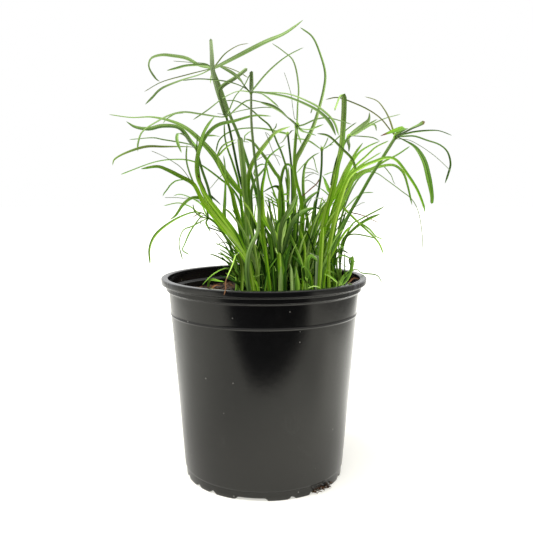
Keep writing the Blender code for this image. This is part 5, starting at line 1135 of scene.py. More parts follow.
def pot_plastic(settings):
    """Black moulded plastic with dust, specks, fine scratches, painted glints on its top and painted
    reflection streaks on the glossy lip.
    """
    pot = Finish("black_plastic")
    place = pot.place()
    x, y, z = pot.parts(place)
    out = pot.minus(x, AXIS_X * MM)
    ahead = pot.minus(AXIS_Y * MM, y)
    turn = pot.sum("ARCTAN2", out, ahead)
    aside = pot.size(turn)
    clouds = pot.noise(place, 24.0, detail=4.0, roughness=0.6)
    grime = pot.noise(place, 190.0, detail=3.0, roughness=0.6)
    dust = pot.times(pot.between(clouds, 0.45, 0.80), pot.between(grime, 0.40, 0.75))
    colour = pot.mix(pot.times(dust, DUST_COVER), settings.pot_black, settings.pot_dust)
    speck_core = pot.between(pot.cells(place, SPECK_CELLS), 0.095, 0.065)
    speck_chance = pot.parts(pot.cells(place, SPECK_CELLS, "Color"))[0]
    specks = pot.times(speck_core, pot.between(speck_chance, 0.84, 0.86))
    colour = pot.mix(pot.times(specks, SPECK_COVER), colour, settings.pot_dust)
    round_place = pot.joined(pot.times(turn, 9.0), pot.times(z, 18.0), 0.0)
    scratch_noise = pot.noise(round_place, 3.0, detail=5.0, roughness=0.8)
    scratches = pot.between(pot.size(pot.minus(scratch_noise, 0.5)), 0.006, 0.001)
    scratches = pot.times(scratches, pot.between(clouds, 0.56, 0.66))
    colour = pot.mix(pot.times(scratches, SCRATCH_COVER), colour, settings.pot_dust)
    # Painted reflections: pale upright streaks on the lip and neck band, stronger at the sides
    outside = pot.between(pot.distance(out, ahead), (NECK_RADIUS - 1.1) * MM, (NECK_RADIUS - 0.9) * MM)
    on_band = pot.times(pot.between(z, NECK_BOTTOM * MM, (NECK_BOTTOM + 1) * MM), outside)
    streak_place = pot.joined(pot.times(turn, 34.0), pot.times(z, 20.0), 1.0)
    streaks = pot.between(pot.noise(streak_place, 1.0, detail=3.0), 0.46, 0.70)
    streaks = pot.times(pot.times(streaks, on_band), pot.between(aside, 0.80, 0.98))
    strength = pot.times_plus(pot.between(aside, 2.0, 1.6), REFLECTIONS_MORE, REFLECTIONS_BEHIND)
    colour = pot.mix(pot.times(streaks, strength), colour, PAINTED_LIP_REFLECTIONS)
    # Painted glints: sparkles along the lip's top
    on_top = pot.between(z, (POT_HEIGHT - 0.5) * MM, (POT_HEIGHT - 0.1) * MM)
    sparkle = pot.times(pot.between(pot.noise(place, 900.0), 0.55, 0.72), on_top)
    colour = pot.mix(pot.times(sparkle, PAINTED_SPARKLE_COVER), colour, settings.pot_dust)
    moulding = pot.times_plus(scratches, -0.5, pot.noise(place, 260.0))
    pot.bump(moulding, 0.10, 0.0003)
    pot.shader.inputs["Specular IOR Level"].default_value = POT_GLOSS
    pot.shader.inputs["Specular Tint"].default_value = POT_TINT
    rough = pot.times_plus(grime, 0.08, POT_ROUGH)
    rough = pot.times_plus(dust, 0.10, rough)
    return pot.finish(colour, rough)


def potting_mix(settings):
    """Moist dark peat with lighter bark crumbs."""
    soil = Finish("potting_mix")
    place = soil.place()
    tone, _, _ = soil.parts(soil.attribute("look"))
    grains = soil.noise(place, 320.0, detail=4.0, roughness=0.7)
    patches = soil.noise(place, 60.0)
    shade = soil.times_plus(soil.minus(grains, 0.5), 0.9, tone)
    shade = soil.times_plus(soil.minus(patches, 0.5), 0.5, shade)
    colour = soil.ramp(shade, (0.15, settings.soil_dark), (1.0, settings.soil_light))
    soil.bump(grains, 0.8, 0.0008)
    rough = soil.times_plus(grains, 0.25, 0.70)
    return soil.finish(colour, rough)


# Making and placing meshes

def layers(shape):
    """The two vertex layers that the materials read."""
    spots = shape.verts.layers.float_vector
    leaf = spots.get("leaf") or spots.new("leaf")
    look = spots.get("look") or spots.new("look")
    return leaf, look


def made_mesh(shape, name="part"):
    """A mesh from a bmesh, with its faces pointing out."""
    bmesh.ops.recalc_face_normals(shape, faces=shape.faces)
    mesh = bpy.data.meshes.new(name)
    shape.to_mesh(mesh)
    shape.free()
    return mesh


def place_piece(name, meshes, finish, nodes=(), sharp=50):
    """Joins meshes, in mm about the pot's axis, into one piece on the frame's body."""
    whole = bmesh.new()
    layers(whole)
    for mesh in meshes:
        whole.from_mesh(mesh)
        bpy.data.meshes.remove(mesh)
    where = Matrix.Scale(MM, 4) @ Matrix.Translation((AXIS_X, AXIS_Y, 0))
    bmesh.ops.transform(whole, matrix=where, verts=whole.verts)
    mesh = bpy.data.meshes.new(name)
    whole.to_mesh(mesh)
    whole.free()
    mesh.shade_smooth()
    mesh.set_sharp_from_angle(angle=math.radians(sharp))
    mesh.materials.append(finish)
    piece = bpy.data.objects.new(name, mesh)
    bpy.context.scene.collection.objects.link(piece)
    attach(piece, "root")
    if nodes:
        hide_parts(*nodes)


# Courses, as in the part

def seen(x, z, y):
    """The point at depth y that looks, from the front, to be at (x, z) on the pot's axis plane."""
    share = (y - EYE.y) / -EYE.y
    return EYE + (Vector((x, 0.0, z)) - EYE) * share


def on_plane(point):
    """Where a point looks to be, from the front, on the plane through the pot's axis."""
    return EYE + (point - EYE) * (-EYE.y / (point.y - EYE.y))


def at(values, share):
    """The value at a share from 0 to 1 of a row of evenly spaced ones."""
    place = min(max(share, 0.0), 1.0) * (len(values) - 1)
    low = min(int(place), len(values) - 2)
    return values[low] + (values[low + 1] - values[low]) * (place - low)


def length_of(points):
    return sum((second - first).length for first, second in zip(points, points[1:]))


def even_course(start_depth, end_depth, path):
    """The real points of a course whose depth changes evenly along the path."""
    last = len(path) - 1
    return [seen(x, z, start_depth + (end_depth - start_depth) * place / last)
            for place, (x, z) in enumerate(path)]


def smooth_course(points, shares):
    """The points at given shares of a smooth curve through the given ones."""
    padded = [2 * points[0] - points[1], *points, 2 * points[-1] - points[-2]]
    fine = []
    for before, start, end, after in zip(padded, padded[1:], padded[2:], padded[3:]):
        for step in range(CURVE_STEPS):
            t = step / CURVE_STEPS
            fine.append(0.5 * (
                2 * start + (end - before) * t
                + (2 * before - 5 * start + 4 * end - after) * t ** 2
                + (3 * start - before - 3 * end + after) * t ** 3))
    fine.append(points[-1])
    run = [0.0]
    for first, second in zip(fine, fine[1:]):
        run.append(run[-1] + (second - first).length)
    course = []
    low = 0
    for goal in [run[-1] * share for share in shares]:
        while low < len(run) - 2 and run[low + 1] < goal:
            low += 1
        part = (goal - run[low]) / max(run[low + 1] - run[low], 1e-9)
        course.append(fine[low].lerp(fine[low + 1], min(max(part, 0.0), 1.0)))
    return course


def course_points(foot, depths, path):
    """The real points of a course that rises from the soil at its foot."""
    points = [Vector((foot[0], foot[1], SOIL_TOP + GAP))]
    run = length_of([Vector((*place, 0)) for place in path])
    gone = 0.0
    for number, (x, z) in enumerate(path):
        if number:
            gone += (Vector((x, z, 0)) - Vector((*path[number - 1], 0))).length
        points.append(seen(x, z, at(depths, gone / run)))
    return points


def reaching(start_depth, end_depth, path):
    """The real points of a course that leaves a crown and spreads at once towards its end depth."""
    reached = [1 - (1 - (number + 1) / len(path)) ** SPREAD for number in range(len(path))]
    return [seen(x, z, start_depth + (end_depth - start_depth) * share)
            for (x, z), share in zip(path, reached)]


def stem_points(name):
    foot, crown_depth, _, path = STEMS[name]
    return course_points(foot, (foot[1], crown_depth), path)


# Blades and stems

def tip_taper(left, width, blunt):
    """How much of its width a blade keeps at a distance from its tip."""
    reach = width * BLUNT_WIDTHS if blunt else min(width * TIP_WIDTHS, TIP_LONGEST)
    part = min(left / reach, 1.0)
    return math.sqrt(part * (2 - part)) if blunt else part ** TIP_CURVE


def heart_shade(spot):
    """How much of its tone a blade keeps at a place, less inside the clump's heart, where shade is
    painted.
    """
    up = min(max((spot.z - HEART_BOTTOM) / (HEART_TOP - HEART_BOTTOM), 0.0), 1.0)
    out = min(abs(spot.x - HEART_MIDDLE) / HEART_REACH, 1.0) ** 2
    light = max(up, out)
    return HEART_TONE + (1 - HEART_TONE) * light


def swept(points, widths, section, look, twist=0.0, blunt=False, closed_tip=True, shaded=True):
    """A mesh, in mm, of a section carried along a course, with what its material reads."""
    settings = bpy.context.scene.papyrus
    tones, cool, dry = look
    total = length_of(points)
    rings = max(6, round(total * MM / settings.ring_step))
    crowding = TIP_CROWDING if closed_tip else 1.0
    shares = [1 - (1 - ring / rings) ** crowding for ring in range(rings + 1)]
    course = smooth_course(points, shares)
    is_stem = section is STEM_SECTION
    chance = random.Random(f"{points[-1].x:.2f} {points[-1].z:.2f}")
    # The fold's painted shade: which half of the blade is darker, and by how much
    fold = 0.0 if is_stem else chance.choice((-1, 1)) * chance.uniform(*FOLD_SHADES)
    phase = chance.uniform(0, math.tau)
    turns = chance.uniform(*TURNS)
    shape = bmesh.new()
    leaf_layer, look_layer = layers(shape)
    bmesh.ops.create_grid(shape, x_segments=len(section), y_segments=rings, size=1.0)
    across = None
    poses = []
    for ring, centre in enumerate(course):
        share = shares[ring]
        width = at(widths, share)
        depth = width / 2 if is_stem else max(width * BLADE_KEEL, BLADE_THINNEST)
        ahead = course[min(ring + 1, rings)] - course[max(ring - 1, 0)]
        forward = ahead.normalized()
        wanted = forward.cross(PLANT_FACES)
        if across is None:
            across = wanted if wanted.length > LEAST_ACROSS else Vector((1, 0, 0))
        kept = (across - forward * across.dot(forward)).normalized()
        pull = TURN_TO_FRONT * min(1.0, TURN_RINGS / rings)
        across = (kept + wanted * max(kept.dot(wanted), 0.0) * pull).normalized()
        angle = twist * math.sin(phase + math.tau * turns * share)
        sideways = Matrix.Rotation(angle, 3, forward) @ across
        face = sideways.cross(forward)
        taper = tip_taper((1 - share) * total, width, blunt) if closed_tip else 1.0
        pose = Matrix((sideways * width / 2 * taper, face * depth * taper, forward))
        pose = pose.transposed().to_4x4()
        pose.translation = centre
        poses.append(pose)
    for vert in shape.verts:
        side = round((vert.co.x + 1) / 2 * len(section)) % len(section)
        ring = min(round((vert.co.y + 1) / 2 * rings), rings)
        share = shares[ring]
        spot = section[side]
        vert.co = poses[ring] @ Vector((*spot, 0))
        vert[leaf_layer] = Vector((spot[0], share * total * MM, fold))
        dried = min(max((share - 1 + dry) / DRY_EASE + 0.5, 0.0), 1.0) if dry > 0 else -dry
        # Painted shade: the tone is darkened inside the clump's heart
        tone = at(tones, share) * (heart_shade(course[ring]) if shaded else 1.0)
        high = min(max((course[ring].z - OLIVE_FROM) / OLIVE_RISE, 0.0), 1.0)
        vert[look_layer] = Vector((tone, min(cool + OLIVE_MOST * high, 1.0), dried))
    bmesh.ops.remove_doubles(shape, verts=shape.verts, dist=WELD)
    loose = [edge for edge in shape.edges if edge.is_boundary]
    bmesh.ops.holes_fill(shape, edges=loose, sides=0)
    return made_mesh(shape)


def hub(centre, rise, radius, look):
    """The knob in which bracts or leaves join, drawn out along its stem."""
    shape = bmesh.new()
    leaf_layer, look_layer = layers(shape)
    bmesh.ops.create_icosphere(shape, subdivisions=3, radius=radius)
    tones, cool, _ = look
    for vert in shape.verts:
        vert[leaf_layer] = Vector((vert.co.x / radius, 0.0, 0.0))
        vert[look_layer] = Vector((min(tones[0] + HUB_PALER, 1.0), cool, 0.0))
    stretch = Matrix.Diagonal((1.0, 1.0, HUB_STRETCH, 1.0))
    turn = Vector((0, 0, 1)).rotation_difference(rise).to_matrix().to_4x4()
    bmesh.ops.transform(shape, matrix=Matrix.Translation(centre) @ turn @ stretch, verts=shape.verts)
    return made_mesh(shape)


def tuned(look, seed):
    """A look a little lighter or darker than its kind's, the same each run."""
    tones, cool, dry = look
    shift = random.Random(seed).uniform(-TONE_PLAY, TONE_PLAY)
    return tuple(tone + shift for tone in tones), cool, dry


def look_of(name, kind):
    return LOOKS.get(name) or tuned(PLAIN_LOOKS[kind], name)


def bract_look(name, number, look):
    """The look of one bract or tiller leaf, its own or one near to its neighbours'."""
    return BRACT_LOOKS.get((name, number)) or tuned(look, f"{name} {number}")


class PAPYRUS_OT_stems(bpy.types.Operator):
    """Three-sided stems from the soil to their crowns."""

    bl_idname = "papyrus.stems"
    bl_label = "Stems"
    bl_options = {"REGISTER", "UNDO"}

    def execute(self, context):
        settings = context.scene.papyrus
        finish = foliage("living_stem", settings, STEM_ROUGH, STEM_LIFT)
        for name, (_, _, widths, _) in STEMS.items():
            mesh = swept(stem_points(name), widths, STEM_SECTION, look_of(name, "stem"),
                         closed_tip=False, shaded=name not in LIT_FEET)
            place_piece(name + "_culm", [mesh], finish, [name])
        return {"FINISHED"}


class PAPYRUS_OT_umbels(bpy.types.Operator):
    """Crowns of spreading bracts, each with the knob that joins them."""

    bl_idname = "papyrus.umbels"
    bl_label = "Umbels"
    bl_options = {"REGISTER", "UNDO"}

    def execute(self, context):
        settings = context.scene.papyrus
        finish = foliage("living_bract", settings, BRACT_ROUGH, BRACT_LIFT)
        for name, (stem, bracts) in UMBELS.items():
            points = stem_points(stem)
            rise = (points[-1] - points[-2]).normalized()
            radius = STEMS[stem][2][-1] * HUB_SWELL
            centre = points[-1] + rise * (radius + GAP)
            meshes = [hub(centre, rise, radius, look_of(name, "bract"))]
            for number, (end_depth, widths, path) in enumerate(bracts):
                look = bract_look(name, number, look_of(name, "bract"))
                course = [centre, *reaching(centre.y, end_depth, path)]
                meshes.append(swept(course, widths, BLADE_SECTION, look, settings.leaf_twist,
                                    blunt=(name, number) in BLUNT_TIPS))
            place_piece(name + "_bracts", meshes, finish, [name])
        return {"FINISHED"}


class PAPYRUS_OT_leaves(bpy.types.Operator):
    """Long single leaves, keeled blades from the soil to their tips."""

    bl_idname = "papyrus.leaves"
    bl_label = "Leaves"
    bl_options = {"REGISTER", "UNDO"}

    def execute(self, context):
        settings = context.scene.papyrus
        finish = leaf_finish(settings)
        for name, (foot, depths, widths, path) in LEAVES.items():
            points = course_points(foot, depths, path)
            mesh = swept(points, widths, BLADE_SECTION, look_of(name, "leaf"), settings.leaf_twist,
                         blunt=name in BLUNT_TIPS, shaded=name not in LIT_FEET)
            place_piece(name + "_blade", [mesh], finish, [name])
        return {"FINISHED"}


class PAPYRUS_OT_tillers(bpy.types.Operator):
    """Side shoots, each a stalk with small leaves growing from its top."""

    bl_idname = "papyrus.tillers"
    bl_label = "Tillers"
    bl_options = {"REGISTER", "UNDO"}

    def execute(self, context):
        settings = context.scene.papyrus
        finish = leaf_finish(settings)
        for name, (foot, top_depth, stalk_widths, course, leaves) in TILLERS.items():
            points = course_points(foot, (foot[1], top_depth), course)
            look = look_of(name, "tiller")
            shaded = name not in LIT_FEET
            meshes = [swept(points, stalk_widths, STEM_SECTION, look, closed_tip=False, shaded=shaded)]
            top = points[-1]
            rise = (top - points[-2]).normalized()
            meshes.append(hub(top, rise, stalk_widths[-1] * HUB_SWELL * TILLER_HUB, look))
            for number, (end_depth, widths, path) in enumerate(leaves):
                blade_look = bract_look(name, number, look)
                course_out = [top, *reaching(top.y, end_depth, path)]
                meshes.append(swept(course_out, widths, BLADE_SECTION, blade_look, settings.leaf_twist,
                                    shaded=shaded))
            place_piece(name + "_shoot", meshes, finish, [name])
        return {"FINISHED"}


class Carriers:
    """The surfaces of the stems, crowns and leaves, as places for a strand to grow from."""

    def __init__(self):
        self.places = []
        axis = Vector((AXIS_X, AXIS_Y, 0))
        for piece in bpy.data.objects:
            if piece.name.endswith(CARRIER_NAMES):
                self.places += [vert.co / MM - axis for vert in piece.data.vertices]
        self.tree = kdtree.KDTree(len(self.places))
        for number, place in enumerate(self.places):
            self.tree.insert(self.key(place), number)
        self.tree.balance()

    def key(self, point):
        """Where a point looks to be from the front, with its depth counted for less."""
        flat = on_plane(point)
        return flat.x, point.y * DEPTH_COUNTS, flat.z

    def rooted(self, points):
        """The course with its base on the nearest carrier and its depth eased along the rest."""
        root = self.places[self.tree.find(self.key(points[0]))[1]]
        step = root.y - points[0].y
        moved = []
        for number, point in enumerate(points):
            flat = on_plane(point)
            left = 1 - number / (len(points) - 1)
            moved.append(seen(flat.x, flat.z, point.y + step * left))
        if (moved[0] - root).length < BASE_REACH:
            moved.pop(0)
        return [root, *moved]


class PAPYRUS_OT_strands(bpy.types.Operator):
    """Hairs and small leaves that are too thin or small to be solids."""

    bl_idname = "papyrus.strands"
    bl_label = "Strands"
    bl_options = {"REGISTER", "UNDO"}

    def execute(self, context):
        settings = context.scene.papyrus
        finish = leaf_finish(settings)
        carriers = Carriers()
        for name, strands in STRANDS.items():
            meshes = []
            for number, (start_depth, end_depth, widths, kind, path) in enumerate(strands):
                points = even_course(start_depth, end_depth, path)
                if path[0][1] < FOOT_SEEN:
                    points[0].z = SOIL_TOP
                else:
                    points = carriers.rooted(points)
                look = tuned(PLAIN_LOOKS[kind], f"{name} {number}")
                meshes.append(swept(points, widths, BLADE_SECTION, look, settings.leaf_twist,
                                    shaded=name not in LIT_FEET))
            place_piece(name, meshes, finish)
        return {"FINISHED"}


class PAPYRUS_OT_undergrowth(bpy.types.Operator):
    """Short leaves at the clump's foot and slim ones that rise through its heart."""

    bl_idname = "papyrus.undergrowth"
    bl_label = "Undergrowth"
    bl_options = {"REGISTER", "UNDO"}

    def execute(self, context):
        settings = context.scene.papyrus
        finish = leaf_finish(settings)
        chance = random.Random(UNDERGROWTH_SEED)
        meshes = [self.leaf(chance, SHORT_LEAVES, settings) for _ in range(settings.undergrowth)]
        meshes += [self.leaf(chance, SLIM_LEAVES, settings) for _ in range(settings.slim_leaves)]
        place_piece("undergrowth", meshes, finish)
        return {"FINISHED"}

    def leaf(self, chance, kind, settings):
        """One small leaf, which rises from the clump's foot, leans outwards and sags at its tip."""
        x = chance.uniform(*kind["x"])
        y = chance.uniform(*kind["y"])
        low, high = kind["height"]
        height = low + (high - low) * chance.random() ** kind["lowness"]
        lean = (x - HEART_MIDDLE) * chance.uniform(*kind["lean"])
        lean += chance.uniform(-kind["sway"], kind["sway"])
        drift = chance.uniform(-kind["drift"], kind["drift"])
        points = []
        for share in kind["places"]:
            rise = height * (share - kind["sag"] * share ** kind["sag_power"])
            points.append(Vector((x + lean * share ** kind["arch"], y + drift * share,
                                  SOIL_TOP + GAP + rise)))
        width = chance.uniform(*kind["width"])
        front, back = kind["y"]
        behind = (y - front) / (back - front)
        # Painted shade: darker towards the clump's back and at the leaf's own foot
        tone = chance.choice(kind["tones"]) - kind["back_painted_shade"] * behind
        tones = [tone * kind["foot_shade_share"] - kind["foot_painted_shade"]] + [tone] * kind["even_tones"]
        return swept(points, [width * share for share in SMALL_LEAF_WIDTHS], BLADE_SECTION,
                     (tones, chance.uniform(*kind["blue"]), 0.0),
                     settings.leaf_twist * SMALL_LEAF_TWIST, shaded=False)


def wall_radius(height):
    """The pot's outer radius on its straight taper."""
    share = (height - BASE_CORNER_HEIGHT) / (NECK_BOTTOM - BASE_CORNER_HEIGHT)
    return BASE_RADIUS + (BODY_TOP_RADIUS - BASE_RADIUS) * share


def arc(centre, radius, start, end, steps):
    """Points of a quarter round or less in an (r, z) profile, from one angle to another."""
    spots = []
    for step in range(steps + 1):
        angle = math.radians(start + (end - start) * step / steps)
        spots.append((centre[0] + radius * math.cos(angle), centre[1] + radius * math.sin(angle)))
    return spots


def line(start, end, shares):
    """Points of an (r, z) profile at given shares of the way from one point to another."""
    return [(start[0] + (end[0] - start[0]) * share, start[1] + (end[1] - start[1]) * share)
            for share in shares]


def wall(heights):
    return [(wall_radius(height), height) for height in heights]


def inside_profile():
    """The pot's inside, from the middle of its floor up to under the lip."""
    floor = FLOOR_HEIGHT + WALL
    foot = BASE_CORNER_HEIGHT + 1.5
    spots = [(0, floor), (wall_radius(floor) - WALL - 3.5, floor)]
    for step in range(WALL_RINGS + 1):
        height = foot + (NECK_BOTTOM - foot) * step / WALL_RINGS
        spots.append((wall_radius(height) - WALL, height))
    spots.append((NECK_RADIUS - NECK_TAPER - WALL, NECK_BOTTOM + LEDGE_HEIGHT))
    spots.append((NECK_RADIUS - WALL, POT_HEIGHT - 2 * LIP_INNER_ROUND))
    return spots


def rim_profile():
    """The lip, over its top and down its outside, then the neck and the ledge under it."""
    inner = LIP_INNER_ROUND
    outer = LIP_OUTER_ROUND
    lip_bottom = POT_HEIGHT - LIP_DEPTH
    ledge_top = NECK_BOTTOM + LEDGE_HEIGHT
    neck_foot = NECK_RADIUS - NECK_TAPER
    spots = arc((NECK_RADIUS - WALL + inner, POT_HEIGHT - inner), inner, 180, 90, 4)
    spots += arc((LIP_RADIUS - outer, POT_HEIGHT - outer), outer, 90, -3, 7)
    spots += [(LIP_RADIUS - in_by, POT_HEIGHT - down) for in_by, down in LIP_SKIRT]
    spots += arc((LIP_RADIUS - 0.75, POT_HEIGHT - 4.1), LIP_LOWER_ROUND, -8, -75, 4)
    spots += line((LIP_RADIUS - 0.7, POT_HEIGHT - 4.75), (NECK_RADIUS + 0.2, lip_bottom + 0.2),
                  (0.35, 0.7, 1.0))
    spots += line((NECK_RADIUS, lip_bottom - 0.3), (neck_foot, ledge_top + 0.3),
                  (0.0, 0.15, 0.4, 0.7, 0.9))
    spots += arc((neck_foot - LEDGE_ROUND, ledge_top + 0.2), LEDGE_ROUND, 0, -50, 3)
    spots += [(BODY_TOP_RADIUS + 0.25, NECK_BOTTOM + 0.35), (BODY_TOP_RADIUS + 0.03, NECK_BOTTOM)]
    return spots


def ridge_profile():
    """The thin ridge line round the wall."""
    spots = []
    for ring in range(-RIDGE_RINGS, RIDGE_RINGS + 1):
        height = RIDGE_HEIGHT - ring * RIDGE_RING_STEP
        swell = RIDGE_RISE * 0.5 * (1 + math.cos(math.pi * ring / RIDGE_RINGS))
        spots.append((wall_radius(height) + swell, height))
    return spots


def foot_profile():
    """The rounded base corner, the foot ring and the underside to its middle."""
    inner = FOOT_RADIUS - FOOT_WIDTH
    spots = arc((BASE_RADIUS - BASE_ROUND, BASE_CORNER_HEIGHT), BASE_ROUND, -12, -50, 4)
    spots += [(FOOT_RADIUS - in_by, height) for in_by, height in FOOT_OUTSIDE]
    spots += arc((FOOT_RADIUS - 0.2 - FOOT_ROUND, FOOT_ROUND), FOOT_ROUND, 0, -90, 3)
    spots += arc((inner + FOOT_ROUND, FOOT_ROUND), FOOT_ROUND, -90, -180, 3)
    spots += [(inner, 2.2), (inner - 0.6, FLOOR_HEIGHT)]
    return spots + [(radius, FLOOR_HEIGHT) for radius in (50, 30, 12, 0)]


def pot_profile():
    """The pot's section, from its floor's inside up, over the lip and down to its underside."""
    under_ridge = RIDGE_HEIGHT - 5
    drop = BASE_CORNER_HEIGHT - under_ridge
    lower = [under_ridge + drop * step / WALL_RINGS for step in range(1, WALL_RINGS + 1)]
    return [*inside_profile(), *rim_profile(), *wall(RINGS_OVER_RIDGE), *ridge_profile(),
            *wall(RINGS_UNDER_RIDGE), *wall(lower), *foot_profile()]


def notch_lift(angle):
    """How high the foot's lower edge stands over the floor at an angle from the front, in degrees."""
    lift = 0.0
    for middle, width in DRAIN_NOTCHES:
        away = abs((angle - middle + 180) % 360 - 180)
        inside = min(max((width / 2 + NOTCH_EASE - away) / (2 * NOTCH_EASE), 0.0), 1.0)
        lift = max(lift, NOTCH_HEIGHT * inside * inside * (3 - 2 * inside))
    return lift


def turned(profile, sides):
    """A closed shape turned about Z from an (r, z) profile, in mm, as a bmesh."""
    shape = bmesh.new()
    outline = [shape.verts.new((radius, 0, height)) for radius, height in profile]
    edges = [shape.edges.new(pair) for pair in zip(outline, outline[1:])]
    bmesh.ops.spin(shape, geom=[*outline, *edges], axis=(0, 0, 1), cent=(0, 0, 0),
                   angle=math.tau, steps=sides, use_merge=True)
    bmesh.ops.remove_doubles(shape, verts=shape.verts, dist=0.001)
    return shape


class PAPYRUS_OT_pot(bpy.types.Operator):
    """The nursery pot, with its lip, neck, ridge line and scalloped foot."""

    bl_idname = "papyrus.pot"
    bl_label = "Pot"
    bl_options = {"REGISTER", "UNDO"}

    def execute(self, context):
        settings = context.scene.papyrus
        shape = turned(pot_profile(), settings.pot_sides)
        for vert in shape.verts:
            reach = vert.co.xy.length
            if vert.co.z < NOTCH_HEIGHT and reach > FOOT_RADIUS - FOOT_WIDTH - 1:
                lift = notch_lift(math.degrees(math.atan2(vert.co.x, -vert.co.y)))
                if reach < FOOT_RADIUS - FOOT_WIDTH / 2:
                    lift *= NOTCH_BACK
                vert.co.z = max(vert.co.z, lift)
        place_piece("nursery_pot", [made_mesh(shape)], pot_plastic(settings), ["pot"], 40)
        return {"FINISHED"}


def soil_height(x, y):
    """The height of the soil's lumpy top at a place, in mm."""
    radius = math.hypot(x, y)
    lumps = noise.noise((x / LUMP_SPREAD, y / LUMP_SPREAD, 0.3)) * LUMP_RISE
    grains = noise.noise((x / GRAIN_SPREAD, y / GRAIN_SPREAD, 7.1)) * GRAIN_RISE
    sag = EDGE_SAG * (radius / SOIL_EDGE_RADIUS) ** 6
    return SOIL_TOP - SOIL_DROP + (lumps + grains) - sag


class PAPYRUS_OT_soil(bpy.types.Operator):
    """The potting soil: a plug with a lumpy top and loose crumbs."""

    bl_idname = "papyrus.soil"
    bl_label = "Soil"
    bl_options = {"REGISTER", "UNDO"}

    def execute(self, context):
        settings = context.scene.papyrus
        finish = potting_mix(settings)
        top = [(SOIL_EDGE_RADIUS * ring / SOIL_RINGS, SOIL_TOP) for ring in range(SOIL_RINGS + 1)]
        floor = FLOOR_HEIGHT + WALL + SOIL_PLAY
        below = [(BASE_RADIUS - WALL - SOIL_PLAY, BASE_CORNER_HEIGHT + 2.0),
                 (wall_radius(floor) - WALL - 4.4, floor), (0, floor)]
        shape = turned([*top, *below], SOIL_SIDES)
        _, look_layer = layers(shape)
        for vert in shape.verts:
            vert[look_layer] = Vector((SOIL_TONE, 0, 0))
            if vert.co.z > SOIL_TOP - 1:
                vert.co.z = soil_height(vert.co.x, vert.co.y)
        meshes = [made_mesh(shape)]
        chance = random.Random(CRUMB_SEED)
        for _ in range(settings.crumbs):
            meshes.append(self.crumb(chance))
        place_piece("soil_bed", meshes, finish, ["potting_soil"], 35)
        return {"FINISHED"}

    def crumb(self, chance):
        """One irregular crumb that lies on the soil."""
        shape = bmesh.new()
        _, look_layer = layers(shape)
        bmesh.ops.create_icosphere(shape, subdivisions=1, radius=1.0)
        size = CRUMB_LEAST + CRUMB_MORE * chance.random() ** 2.5
        tone = chance.choice(CRUMB_TONES)
        for vert in shape.verts:
            vert.co *= chance.uniform(0.7, 1.25)
            vert[look_layer] = Vector((tone, 0, 0))
        radius = (SOIL_EDGE_RADIUS - 1.5) * math.sqrt(chance.random())
        angle = chance.uniform(0, math.tau)
        x = radius * math.cos(angle)
        y = radius * math.sin(angle)
        spot = Matrix.Translation((x, y, soil_height(x, y) + size * 0.25))
        turn = Matrix.Rotation(chance.uniform(0, math.tau), 4, "Z")
        tilt = Matrix.Rotation(chance.uniform(-0.6, 0.6), 4, "X")
        wide = size * chance.uniform(0.8, 1.6)
        high = size * chance.uniform(0.5, 0.9)
        flat = Matrix.Diagonal((wide, size, high, 1))
        bmesh.ops.transform(shape, matrix=spot @ turn @ tilt @ flat, verts=shape.verts)
        return made_mesh(shape)


# Fibres on the soil, in mm, then the roots: the notch's angle in degrees and their heights in mm
FIBRE_REACH = 66
FIBRE_STEP = 2.8
ROOTS_AT = 47
ROOTS_LOWEST = 0.4
ROOTS_HIGHEST = 8.5

# Dry bits on the soil: start and end depth, widths, look and course
FALLEN = (
    (-46, -52, (1.6, 2.2, 2.0, 1.0), "green", (
        (-45, 152.5), (-44.5, 157.8), (-41, 158.6), (-36.5, 157.4), (-32, 156.8))),
    (-50, -50, (1.4, 1.6, 1.0), "brown", ((-43, 151), (-39, 154), (-34, 153))),
    (-30, -24, (1.2, 1.4, 0.8), "brown", ((68, 155), (73, 160), (78, 158.5))),
    (-36, -40, (1.0, 1.2, 0.8), "pale", ((36, 151.6), (41, 153.2), (46, 151.8))),
)


